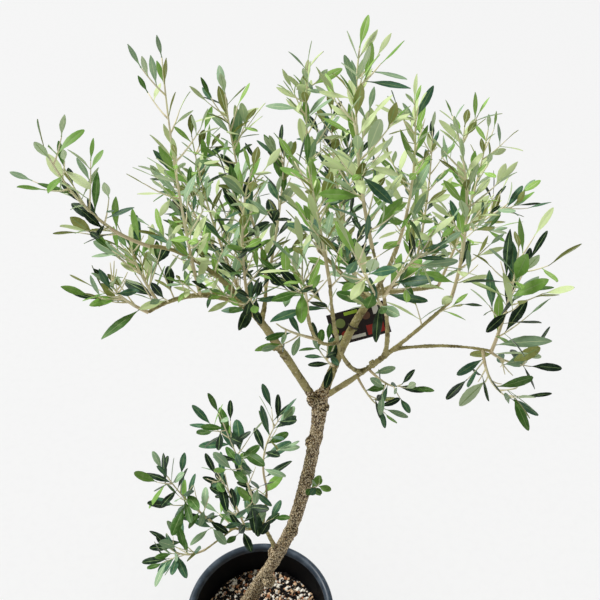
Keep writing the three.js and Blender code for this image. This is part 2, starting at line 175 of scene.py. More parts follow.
TOP, SIDE, INNER, LOW, BUD = Spray
MASSES: dict[str, MassPlan] = {
    "far_left_low": MassPlan("left_arm", 1, (-92, -74, 835), (-5, -1, 0), 50, 3, SIDE, 30, 1.5),
    "left_arm_end": MassPlan("left_arm", 0.88, (-80, -40, 848), (-4, -1, 3), 52, 3, SIDE, 30, 1.6),
    "far_left": MassPlan("left_rise", 1, (-113, -86, 955), (-7, -2, -10), 60, 5, SIDE, 27, 0.5),
    "top_left": MassPlan("left_arm", 0.5, (-37, -35, 998), (1, -22, 9), 56, 6, TOP, 24, 0.36),
    "left_front": MassPlan("left_bough", 0.94, (19, -80, 824), (0, -3, 6), 48, 1, INNER, 28, 0.7),
    "left_mid": MassPlan("left_bough", 1, (24, -58, 926), (-6, 2, 13), 56, 6, SIDE, 29, 0.8),
    "upper_left": MassPlan("left_inner", 1, (0, 8, 956), (-6, 3, 6), 58, 6, SIDE, 27, 0.9),
    "inner_mid": MassPlan("left_inner", 0.6, (45, 40, 903), (4, 2, 4), 52, 4, INNER, 27, 1.3),
    "back_left": MassPlan("left_back", 1, (-74, 130, 833), (-7, 10, -1), 60, 4, SIDE, 30, 1.1),
    "behind_left": MassPlan("left_back", 0.6, (-40, 70, 892), (-6, 10, -6), 56, 4, SIDE, 28, 1.2),
    "top_mid_left": MassPlan("centre_left", 1, (64, 24, 976), (-5, 0, 12), 56, 6, TOP, 28, 1),
    "top_mid": MassPlan("centre_shoot", 1, (96, -67, 1015), (-8, -13, 14), 54, 6, TOP, 30, 0.95),
    "top_right_mid": MassPlan("centre_leader", 1, (146, 0, 954), (5, -6, 3), 56, 6, TOP, 29, 0.6),
    "top_right": MassPlan("centre_right", 1, (235, 96, 887), (8, 6, 0), 60, 5, TOP, 29, 0.6),
    "right_back": MassPlan("centre_back", 1, (309, 178, 773), (3, 5, -7), 60, 5, SIDE, 32, 0.45),
    "behind_right": MassPlan("centre_back", 0.5, (192, 140, 866), (6, 10, -4), 58, 4, SIDE, 30, 0.45),
    "back_mid": MassPlan("centre_far", 1, (115, 190, 833), (-3, 10, -14), 62, 4, SIDE, 32, 0.75),
    "behind_mid": MassPlan("centre_far", 0.5, (88, 110, 898), (-6, 12, 2), 56, 3, INNER, 29, 0.9),
    "right": MassPlan("right_arm", 1, (219, -90, 876), (4, 3, 0), 58, 6, SIDE, 38, 0.45),
    "right_end": MassPlan("right_arm", 0.98, (268, -54, 724), (-2, 4, -6), 48, 2, LOW, 31, 0.8),
    "right_under": MassPlan("right_arm", 0.9, (244, -86, 716), (-5, -5, -4), 46, 2, LOW, 33, 1.6),
    "right_mid": MassPlan("right_bough", 1, (177, 0, 941), (8, -15, 13), 56, 6, TOP, 28, 0.5),
    "front": MassPlan("front_twig", 1, (58, -112, 868), (1, -1, 6), 56, 4, SIDE, 28, 1),
    "front_mid": MassPlan("front_shoot", 1, (64, -46, 922), (0, 4, 1), 52, 4, SIDE, 33, 0.7),
    "front_right": MassPlan("centre_shoot", 0.5, (94, -112, 892), (-5, -16, 17), 58, 5, SIDE, 36, 0.7),
    "right_front": MassPlan("centre_shoot", 0.66, (150, -98, 880), (-2, -8, 12), 52, 4, SIDE, 30, 0.7),
    "low_right": MassPlan("right_bough", 0.42, (153, -56, 703), (3, -5, -6), 41, 1, LOW, 26, 0.7),
    "under_right": MassPlan("right_bough", 0.33, (143, -38, 650), (1, -3, -7), 41, 1, LOW, 26, 0.6),
    "low_left": MassPlan("front_twig", 0.55, (39, -86, 802), (-4, -2, 1), 42, 1, LOW, 26, 0.66),
    "fork": MassPlan("centre_bough", 0.28, (78, -14, 705), (1, -4, 0), 39, 1, LOW, 25, 1),
    "trunk_side": MassPlan("trunk", 0.546, (81, -8, 490), (3, -3, 0), 30, 0, BUD, 16, 1.3),
    "low_far_left": MassPlan("low_left", 1, (-90, -28, 528), (-5, -1, 2), 54, 5, LOW, 35, 0.5),
    "low_mid": MassPlan("low_left", 0.4, (-38, -12, 518), (1, 2, 0), 52, 4, LOW, 35, 0.7),
    "low_front": MassPlan("low_front", 1, (-99, -50, 424), (-3, -2, -10), 54, 4, LOW, 34, 0.45),
    "low_up": MassPlan("low_shoot", 1, (-28, -14, 618), (2, -4, 8), 56, 7, LOW, 35, 0.6),
    "low_up_right": MassPlan("low_right", 1, (38, 20, 578), (-10, 0, 0), 46, 3, LOW, 35, 0.6),
}


@dataclass(frozen=True)
class LeafHabit:
    """How the leaves of one family grow.

    `width` and `bluntness` are the ranges of a leaf's width by its length and of how blunt it is. `lean`
    is the angle off the twig at its foot and at its tip, `sizes` are the lengths at the leader's foot and
    tip, and a leaf that points further down than `droop` is left out.
    """

    width: tuple[float, float]
    bluntness: tuple[float, float]
    lean: tuple[float, float]
    sizes: tuple[float, float]
    droop: float


HABITS: dict[Spray, LeafHabit] = {
    TOP: LeafHabit((0.21, 0.29), (0.5, 0.8), (56, 28), (1.25, 0.6), -0.3),
    SIDE: LeafHabit((0.22, 0.31), (0.46, 0.74), (58, 34), (1.18, 0.74), -0.35),
    INNER: LeafHabit((0.25, 0.33), (0.42, 0.64), (60, 36), (1.1, 0.8), -0.5),
    LOW: LeafHabit((0.27, 0.36), (0.4, 0.52), (72, 48), (1.0, 0.82), -0.7),
    BUD: LeafHabit((0.5, 0.62), (0.4, 0.5), (74, 60), (1.0, 0.9), -0.9),
}

# The masses at the crown's own lower edge whose names begin as the low shoot's do.
CROWN_LOW = ("low_right", "low_left")

# Short leafy spurs on the limbs: the shares between which they stand and how many there are.
SPURS: dict[str, tuple[float, float, int]] = {
    "left_arm": (0.1, 0.95, 10),
    "left_rise": (0.25, 0.95, 7),
    "left_bough": (0.88, 1.0, 2),
    "left_inner": (0.4, 0.95, 4),
    "left_back": (0.35, 0.95, 6),
    "centre_left": (0.4, 0.95, 3),
    "centre_back": (0.3, 0.95, 4),
    "centre_far": (0.35, 0.95, 6),
    "centre_right": (0.3, 0.95, 3),
    "right_bough": (0.8, 1.0, 2),
    "front_shoot": (0.7, 1.0, 2),
    "low_shoot": (0.75, 1.0, 2),
    "low_left": (0.15, 0.9, 4),
    "low_right": (0.5, 0.9, 1),
}


def metres(point: Sequence[float]) -> Vector:
    """Turns a point in millimetres into a vector in metres."""
    return Vector(point) * MM


def blend(low: float, high: float, share: float) -> float:
    """Gives the value at a share of the way from `low` to `high`."""
    return low + (high - low) * share


def chance(mass: int, twig: int, draw: int) -> float:
    """Gives the solids' repeatable number for one draw on one twig of one mass.

    Args:
        mass: The mass's place in the order of MASSES.
        twig: The twig's number, with 0 for the leader.
        draw: Which of the twig's numbers is wanted.

    Returns:
        A number from 0 to 1, the same one that the solids were grown with.
    """
    word = 0xFFFFFFFF
    state = (mass * 4096 + twig * 32 + draw + 0x6D2B79F5) & word
    state = ((state ^ (state >> 15)) * (state | 1)) & word
    state ^= (state + (state ^ (state >> 7)) * (state | 61)) & word
    return ((state ^ (state >> 14)) & word) / 2**32


def channels(colour: int) -> list[int]:
    """Gives the red, green and blue of a screen colour such as 0x7A8B5C, from 0 to 255."""
    return [colour >> shift & 0xFF for shift in (16, 8, 0)]


def sideways(heading: Vector, angle: float) -> Vector:
    """Gives the direction square to `heading` at an angle round it."""
    return Quaternion(heading, angle) @ heading.cross(TURN_ZERO).normalized()


def steer(heading: Vector, turn: float, lean: float) -> Vector:
    """Leans a direction off `heading`, at an angle `turn` round it."""
    return (heading * math.cos(lean) + sideways(heading, turn) * math.sin(lean)).normalized()


@dataclass(frozen=True)
class Axis:
    """A line through space that a limb or twig follows, kept as close points.

    `runs` is how far along the line each point lies.
    """

    points: np.ndarray
    runs: np.ndarray

    @classmethod
    def through(cls, points: Sequence[Vector]) -> "Axis":
        """Makes an axis.

        Args:
            points: The points that it runs through, in their order.

        Returns:
            The axis, with the run of each point.
        """
        places = np.array([tuple(p) for p in points])
        steps = np.linalg.norm(np.diff(places, axis=0), axis=1)
        return cls(places, np.concatenate([[0.0], np.cumsum(steps)]))

    @property
    def length(self) -> float:
        """The whole length."""
        return float(self.runs[-1])

    def at(self, share: float) -> Vector:
        """Gives the point at a share of the length."""
        return self.where(share * self.length, self.runs)

    def at_step(self, part: float) -> Vector:
        """Gives the point at a share of the curve's own parameter."""
        return self.where(part, np.linspace(0.0, 1.0, len(self.points)))

    def where(self, value: float, scale: np.ndarray) -> Vector:
        """Gives the place where a scale that runs along the points reaches a value."""
        return Vector([float(np.interp(value, scale, self.points[:, k])) for k in range(3)])

    def heading(self, share: float, reach: float = 0.01) -> Vector:
        """Gives the direction at a share of the length, over a short reach either way."""
        return (self.at(min(1.0, share + reach)) - self.at(max(0.0, share - reach))).normalized()


def bowed_axis(start: Vector, tip: Vector, bow: Vector) -> Axis:
    """Makes the axis of a limb, leader or twig.

    Args:
        start: Where it leaves its parent.
        tip: Where it ends.
        bow: How far its middle is pushed off the straight line.

    Returns:
        The axis.
    """
    control = (start + tip) / 2 + bow * 2
    shares = [k / CURVE_STEPS for k in range(CURVE_STEPS + 1)]
    return Axis.through(
        [start * (1 - t) ** 2 + control * (2 * t * (1 - t)) + tip * t**2 for t in shares]
    )


def routed_axis(route: Sequence[Vector]) -> Axis:
    """Makes the trunk's axis.

    Args:
        route: The points that the trunk grows through.

    Returns:
        The axis, a smooth curve through every point of the route.
    """
    ends = [route[0] * 2 - route[1], *route, route[-1] * 2 - route[-2]]
    points = []
    for k in range(1, len(route)):
        before, start, end, after = ends[k - 1 : k + 3]
        leave, arrive = (end - before) / 2, (after - start) / 2
        for t in (i / ROUTE_STEPS for i in range(ROUTE_STEPS)):
            points.append(
                start * (2 * t**3 - 3 * t**2 + 1)
                + end * (3 * t**2 - 2 * t**3)
                + leave * (t**3 - 2 * t**2 + t)
                + arrive * (t**3 - t**2)
            )
    return Axis.through([*points, route[-1]])


def srgb(colour: int) -> tuple[float, float, float, float]:
    """Turns a screen colour into the linear one that shaders take.

    Args:
        colour: The colour, such as 0x7A8B5C.

    Returns:
        Its linear red, green and blue, and an opaque alpha.
    """
    parts = [channel / 255 for channel in channels(colour)]
    linear = [p / 12.92 if p <= 0.04045 else ((p + 0.055) / 1.055) ** 2.4 for p in parts]
    return (linear[0], linear[1], linear[2], 1.0)


class NodeSheet:
    """A node tree that is being filled."""

    def __init__(self, tree: bpy.types.NodeTree) -> None:
        """Takes the tree to fill."""
        self.tree = tree

    def add(self, kind: str, settings: dict | None = None, **sockets: object) -> bpy.types.Node:
        """Adds a node.

        Args:
            kind: The node's type, without the word ShaderNode.
            settings: Values of the node's own properties.
            **sockets: Values or other nodes' outputs for its inputs, with _ for a space in a name.

        Returns:
            The new node.
        """
        node = self.tree.nodes.new("ShaderNode" + kind)
        for name, value in (settings or {}).items():
            setattr(node, name, value)
        for name, value in sockets.items():
            self.feed(node, name.replace("_", " "), value)
        return node

    def feed(self, node: bpy.types.Node, name: str | int, value: object) -> None:
        """Sets or links one input of a node.

        Args:
            node: The node.
            name: The input's name or number.
            value: Its value, or the output that feeds it.
        """
        if isinstance(value, bpy.types.NodeSocket):
            self.tree.links.new(value, node.inputs[name])
        else:
            node.inputs[name].default_value = value

    def mix(self, mask: object, low: object, high: object) -> bpy.types.NodeSocket:
        """Mixes two colours.

        Args:
            mask: How much of the second colour shows.
            low: The first colour.
            high: The second colour.

        Returns:
            The mixed colour.
        """
        node = self.add("MixRGB")
        for k, value in enumerate((mask, low, high)):
            self.feed(node, k, value)
        return node.outputs[0]


def new_group(name: str, inputs: dict[str, float | None], outputs: Sequence[str]) -> tuple:
    """Starts a shader node group.

    Args:
        name: The group's name.
        inputs: The default of each input, with None for the place on the surface.
        outputs: The names of its outputs, which are all single numbers.

    Returns:
        The group, its node sheet, its input node and its output node.
    """
    group = bpy.data.node_groups.new(name, "ShaderNodeTree")
    for label, default in inputs.items():
        kind = "NodeSocketVector" if default is None else "NodeSocketFloat"
        socket = group.interface.new_socket(label, in_out="INPUT", socket_type=kind)
        if default is not None:
            socket.default_value = default
    for label in outputs:
        group.interface.new_socket(label, in_out="OUTPUT", socket_type="NodeSocketFloat")
    sheet = NodeSheet(group)
    source = group.nodes.new("NodeGroupInput")
    sink = group.nodes.new("NodeGroupOutput")
    return group, sheet, source, sink


def mottle_group() -> bpy.types.NodeTree:
    """Builds the group that makes patches, at its first use.

    Returns:
        The group, whose mask is noise that is cut between a low and a high level.
    """
    name = "mottle"
    if name in bpy.data.node_groups:
        return bpy.data.node_groups[name]
    inputs = {"Place": None, "Scale": 100.0, "Detail": 4.0, "Low": 0.4, "High": 0.6}
    group, sheet, source, sink = new_group(name, inputs, ["Mask"])
    clouds = sheet.add(
        "TexNoise",
        Vector=source.outputs["Place"],
        Scale=source.outputs["Scale"],
        Detail=source.outputs["Detail"],
        Roughness=0.6,
    )
    cut = sheet.add("MapRange", {"interpolation_type": "SMOOTHSTEP"}, Value=clouds.outputs["Fac"])
    sheet.feed(cut, "From Min", source.outputs["Low"])
    sheet.feed(cut, "From Max", source.outputs["High"])
    sheet.feed(sink, "Mask", cut.outputs["Result"])
    return group


def grain_group() -> bpy.types.NodeTree:
    """Builds the group that makes a fine height, at its first use.

    Returns:
        The group, whose height is broad swells with a finer grain on them.
    """
    name = "grain"
    if name in bpy.data.node_groups:
        return bpy.data.node_groups[name]
    inputs = {"Place": None, "Broad": 120.0, "Fine": 700.0, "Fine Share": 0.4}
    group, sheet, source, sink = new_group(name, inputs, ["Height"])
    place = source.outputs["Place"]
    broad = sheet.add("TexNoise", Vector=place, Scale=source.outputs["Broad"], Detail=3.0)
    fine = sheet.add("TexNoise", Vector=place, Scale=source.outputs["Fine"], Detail=2.0)
    both = sheet.add("Mix", {"data_type": "FLOAT"})
    sheet.feed(both, 0, source.outputs["Fine Share"])
    sheet.feed(both, 2, broad.outputs["Fac"])
    sheet.feed(both, 3, fine.outputs["Fac"])
    sheet.feed(sink, "Height", both.outputs[0])
    return group


@dataclass(frozen=True)
class Surface:
    """A material that is being dressed: its nodes, its shader and the place on the surface."""

    sheet: NodeSheet
    shader: bpy.types.Node
    place: bpy.types.NodeSocket

    def paint(self, name: str, value: object) -> None:
        """Sets or links one input of the shader."""
        self.sheet.feed(self.shader, name, value)

    def effect(self, group: bpy.types.NodeTree, **sockets: object) -> bpy.types.NodeSocket:
        """Places a node group with its own values and gives its first output."""
        return self.sheet.add("Group", {"node_tree": group}, **sockets).outputs[0]

    def patches(
        self, scale: float, low: float, high: float, place: bpy.types.NodeSocket | None = None
    ) -> bpy.types.NodeSocket:
        """Gives a mask of patches.

        Args:
            scale: How fine they are.
            low: The level of the noise below which there are none.
            high: The level above which they are whole.
            place: The place on the surface, where it isn't the plain one.

        Returns:
            The mask.
        """
        where = self.place if place is None else place
        return self.effect(mottle_group(), Place=where, Scale=scale, Low=low, High=high)


@dataclass(frozen=True)
class Finish:
    """A surface with a fine grain.

    It has a name, a colour, a roughness and a gloss. `grain` is how deep the grain is, in metres, and
    `broad` and `fine` are the scales of its swells and of the grain on them.
    """

    name: str
    colour: int
    roughness: float = 0.6
    grain: float = 0.0001
    broad: float = 150.0
    fine: float = 900.0
    gloss: float = 0.4

    def material(self) -> bpy.types.Material:
        """Builds the finish's material, at its first use.

        Returns:
            The material.
        """
        if self.name in bpy.data.materials:
            return bpy.data.materials[self.name]
        material = bpy.data.materials.new(self.name)
        material.use_nodes = True
        material.diffuse_color = srgb(self.colour)
        sheet = NodeSheet(material.node_tree)
        shader = material.node_tree.nodes["Principled BSDF"]
        surface = Surface(sheet, shader, sheet.add("TexCoord").outputs["Object"])
        surface.paint("Base Color", srgb(self.colour))
        surface.paint("Roughness", self.roughness)
        surface.paint("Specular IOR Level", self.gloss)
        self.dress(surface)
        height = surface.effect(
            grain_group(), Place=surface.place, Broad=self.broad, Fine=self.fine
        )
        bump = sheet.add("Bump", Strength=1.0, Distance=self.grain, Height=height)
        surface.paint("Normal", bump.outputs["Normal"])
        return material

    def dress(self, surface: Surface) -> None:
        """Adds what this finish has beyond a plain colour. A plain finish has nothing more."""


@dataclass(frozen=True)
class BarkFinish(Finish):
    """Mottled grey-brown bark with pale flecks and dark cracks, drawn out by `stretch`.

    `patch`, `fleck` and `crack` each give a scale and the two levels between which the noise is cut.
    """

    pale: int = 0xE9D9B6
    dark: int = 0x2C1D08
    tan: int = 0x745832
    stretch: tuple[float, float, float] = (1.0, 1.0, 0.5)
    patch: tuple[float, float, float] = (70.0, 0.42, 0.58)
    fleck: tuple[float, float, float] = (760.0, 0.47, 0.56)
    crack: tuple[float, float, float] = (640.0, 0.48, 0.56)

    def dress(self, surface: Surface) -> None:
        """Mixes the bark's colours by patches of several sizes.

        Args:
            surface: The material that is being dressed.
        """
        mix = surface.sheet.mix
        mapping = surface.sheet.add("Mapping", Vector=surface.place, Scale=self.stretch)
        drawn = mapping.outputs["Vector"]
        colour = mix(surface.patches(*self.patch), srgb(self.colour), srgb(self.tan))
        colour = mix(surface.patches(*self.fleck, drawn), colour, srgb(self.pale))
        surface.paint("Base Color", mix(surface.patches(*self.crack, drawn), colour, srgb(self.dark)))


@dataclass(frozen=True)
class YoungBarkFinish(Finish):
    """Smooth olive-tan bark with pale pores and a few darker patches, each with scale and levels."""

    pale: int = 0xCFC49E
    shade: int = 0x6C6034
    patch: tuple[float, float, float] = (90.0, 0.48, 0.66)
    pore: tuple[float, float, float] = (420.0, 0.56, 0.66)

    def dress(self, surface: Surface) -> None:
        """Mixes the pores and patches in.

        Args:
            surface: The material that is being dressed.
        """
        mix = surface.sheet.mix
        colour = mix(surface.patches(*self.patch), srgb(self.colour), srgb(self.shade))
        surface.paint("Base Color", mix(surface.patches(*self.pore), colour, srgb(self.pale)))


@dataclass(frozen=True)
class PatchedFinish(Finish):
    """A surface with patches of a second colour and roughness."""

    second: int = 0x808080
    second_roughness: float = 0.6
    scale: float = 60.0
    low: float = 0.45
    high: float = 0.65

    def dress(self, surface: Surface) -> None:
        """Mixes the second colour and roughness in.

        Args:
            surface: The material that is being dressed.
        """
        sheet = surface.sheet
        mask = surface.patches(self.scale, self.low, self.high)
        surface.paint("Base Color", sheet.mix(mask, srgb(self.colour), srgb(self.second)))
        rough = sheet.add("MapRange", Value=mask)
        sheet.feed(rough, "To Min", self.roughness)
        sheet.feed(rough, "To Max", self.second_roughness)
        surface.paint("Roughness", rough.outputs["Result"])


# The pale yellow green that the lighter patches of a leaf lean towards.
LIT_GREEN = 0xE6F0C0


def lifted(colour: int, share: float) -> int:
    """Mixes a screen colour towards LIT_GREEN by a share."""
    red, green, blue = (round(blend(*pair, share)) for pair in zip(channels(colour), channels(LIT_GREEN)))
    return red << 16 | green << 8 | blue


def leaf_finish(name: str, colour: int, roughness: float, gloss: float) -> Finish:
    """Gives the finish of a leaf's side: paler patches, and its fine veins as a shallow grain.

    Args:
        name: The finish's name, without the word leaf.
        colour: Its colour.
        roughness: Its roughness, which is a little higher in the patches.
        gloss: How strongly it shines.

    Returns:
        The finish.
    """
    return PatchedFinish(
        "leaf_" + name,
        colour,
        roughness,
        grain=0.00005,
        broad=90.0,
        fine=500.0,
        gloss=gloss,
        second=lifted(colour, 0.16),
        second_roughness=roughness + 0.1,
        scale=150.0,
        low=0.45,
        high=0.62,
    )


class LeafTint(Enum):
    """The greens of the leaves' upper sides, from the palest to the darkest."""

    # PALE is partly the leaves' own pale green and partly painted light on the sunlit top of the crown.
    PALE = leaf_finish("pale_green_and_painted_light", 0xDAEBAC, 0.5, 0.25)
    FRESH = leaf_finish("fresh_green", 0x9BC85E, 0.45, 0.25)
    GREY = leaf_finish("grey_green", 0x98B890, 0.5, 0.25)
    MID = leaf_finish("mid_green", 0x7DAA4C, 0.42, 0.2)
    BLUE = leaf_finish("blue_green", 0x426C50, 0.4, 0.25)
    DEEP = leaf_finish("deep_green", 0x4B7530, 0.4, 0.2)
    # DARK is partly the leaves' own dark green and partly painted shade for the shadows and gaps inside the
    # crown.
    DARK = leaf_finish("dark_green_and_painted_shade", 0x152D1B, 0.38, 0.2)


class UnderTint(Enum):
    """The colours of the leaves' undersides."""

    SILVER = leaf_finish("underside_silver", 0xC0D3AA, 0.75, 0.1)
    # KHAKI and OLIVE are partly the undersides' own tones and partly painted shade on silvery undersides.
    KHAKI = leaf_finish("underside_khaki", 0x9A9F5A, 0.7, 0.1)
    OLIVE = leaf_finish("underside_olive", 0x74793A, 0.65, 0.1)


class RibTint(Enum):
    """The colours of the midribs of pale leaves and of dark ones."""

    PALE = leaf_finish("midrib_pale", 0xDCE8BC, 0.5, 0.2)
    DARK = leaf_finish("midrib_green", 0x8FAC6C, 0.5, 0.2)


LEAF_FINISHES: list[Finish] = [tint.value for kind in (LeafTint, UnderTint, RibTint) for tint in kind]

# How often each tint is dealt in each family: the upper sides in LeafTint's order, then the undersides.
# Painted light and shade: the top family is mostly pale, the inner and low ones mostly near-black and
# olive.
TINT_SHARES: dict[Spray, tuple[tuple[float, ...], tuple[float, ...]]] = {
    TOP: ((0.46, 0.21, 0.17, 0.11, 0.04, 0.01, 0.00), (0.66, 0.26, 0.08)),
    SIDE: ((0.17, 0.14, 0.18, 0.18, 0.13, 0.11, 0.09), (0.48, 0.33, 0.19)),
    INNER: ((0.01, 0.03, 0.08, 0.12, 0.22, 0.13, 0.41), (0.28, 0.34, 0.38)),
    LOW: ((0.00, 0.00, 0.15, 0.05, 0.30, 0.14, 0.36), (0.50, 0.28, 0.22)),
    BUD: ((0.00, 0.00, 0.25, 0.45, 0.05, 0.25, 0.00), (0.50, 0.28, 0.22)),
}

# The darker family that leaves low in a mass often take: partly older leaves, partly painted shade under
# the lit top.
LOW_LEAF_SPRAY: dict[Spray, Spray] = {TOP: SIDE, SIDE: INNER}


class TwigAge(Enum):
    """The bark of a twig, from its woody foot to its green tip."""

    WOODY = Finish("twig_woody", 0xDCCBA4, 0.8, 0.0001)
    GREEN = Finish("twig_green", 0xF0E5BE, 0.65, 0.00005)
    YOUNG = Finish("twig_young", 0xF4EBC8, 0.55, 0.00005)


class Draft:
    """A mesh that is being drafted: points, faces and the finish of each face."""

    def __init__(self) -> None:
        """Starts empty."""
        self.points: list[np.ndarray] = []
        self.faces: list[tuple[int, ...]] = []
        self.slots: list[int] = []
        self.count = 0

    def add(self, points: np.ndarray, faces: Sequence[Sequence[int]], slots: object = 0) -> None:
        """Adds points, and faces that count from the first of them.

        Args:
            points: The new points, one a row.
            faces: The corners of each new face.
            slots: The number of the finish of them all, or one for each face.
        """
        start = self.count
        self.points.append(points)
        self.count += len(points)
        self.faces.extend(tuple(start + k for k in face) for face in faces)
        self.slots.extend([slots] * len(faces) if isinstance(slots, int) else slots)

    def tube(
        self,
        axis: Axis,
        sides: int,
        rows: int,
        radius_at: Callable[[float], float],
        slot_at: Callable[[float], int] = lambda share: 0,
    ) -> None:
        """Adds a closed tube along an axis.

        Args:
            axis: The line that it follows.
            sides: How many flat sides it has.
            rows: How many bands it has along its length.
            radius_at: Its radius by the share of its length.
            slot_at: The number of its finish by the share of its length.
        """
        angles = np.linspace(0, 2 * math.pi, sides, endpoint=False)
        rings = []
        for row in range(rows + 1):
            share = row / rows
            centre, heading = axis.at(share), axis.heading(share)
            across = sideways(heading, 0.0)
            other = heading.cross(across)
            ring = np.outer(np.cos(angles), across) + np.outer(np.sin(angles), other)
            rings.append(np.array(centre) + radius_at(share) * ring)
        faces: list[tuple[int, ...]] = []
        slots: list[int] = []
        for row in range(rows):
            for k in range(sides):
                after = (k + 1) % sides
                low, high = row * sides, (row + 1) * sides
                faces.append((low + k, low + after, high + after, high + k))
                slots.append(slot_at((row + 0.5) / rows))
        faces.append(tuple(reversed(range(sides))))
        faces.append(tuple(rows * sides + k for k in range(sides)))
        self.add(np.concatenate(rings), faces, [*slots, slot_at(0.0), slot_at(1.0)])

    def lathe(self, profile: Sequence[Point], sides: int) -> None:
        """Adds a turned form.

        Args:
            profile: The radius and height of each point, with the finish of the band that follows it.
            sides: How many flat sides it has.
        """
        angles = np.linspace(0, 2 * math.pi, sides, endpoint=False)
        points = np.array(
            [(r * math.cos(a), r * math.sin(a), z) for r, z, _ in profile for a in angles]
        )
        faces = []
        slots = []
        for row in range(len(profile) - 1):
            for k in range(sides):
                after = (k + 1) % sides
                low, high = row * sides, (row + 1) * sides
                faces.append((low + k, low + after, high + after, high + k))
                slots.append(int(profile[row][2]))
        self.add(points, faces, slots)

    def piece(self, name: str, finishes: Sequence[Finish], smooth: bool = True) -> bpy.types.Object:
        """Makes the object.

        Args:
            name: The piece's name.
            finishes: The finishes that the slots count through.
            smooth: Whether its faces are shaded as one curved surface.

        Returns:
            The new object, linked to the scene.
        """
        mesh = bpy.data.meshes.new(name)
        mesh.from_pydata(np.concatenate(self.points).tolist(), [], self.faces)
        for finish in finishes:
            mesh.materials.append(finish.material())
        mesh.polygons.foreach_set("material_index", np.array(self.slots, dtype=np.int32))
        mesh.polygons.foreach_set("use_smooth", np.full(len(self.faces), smooth))
        mesh.update()
        piece = bpy.data.objects.new(name, mesh)
        bpy.context.scene.collection.objects.link(piece)
        return piece


def settle(piece: bpy.types.Object, nodes: Sequence[str]) -> None:
    """Hands a finished piece to the frame.

    Args:
        piece: The piece, which rides on the part's one body.
        nodes: The CAD nodes that it stands for.
    """
    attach(piece, BODY)
    if nodes:
        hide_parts(*nodes)
    LOG.info("%s: %d faces, for %d nodes", piece.name, len(piece.data.polygons), len(nodes))


@dataclass
class Limb:
    """One limb of the tree with its axis and its radius by the share of its length."""

    name: str
    axis: Axis
    radius_at: Callable[[float], float]


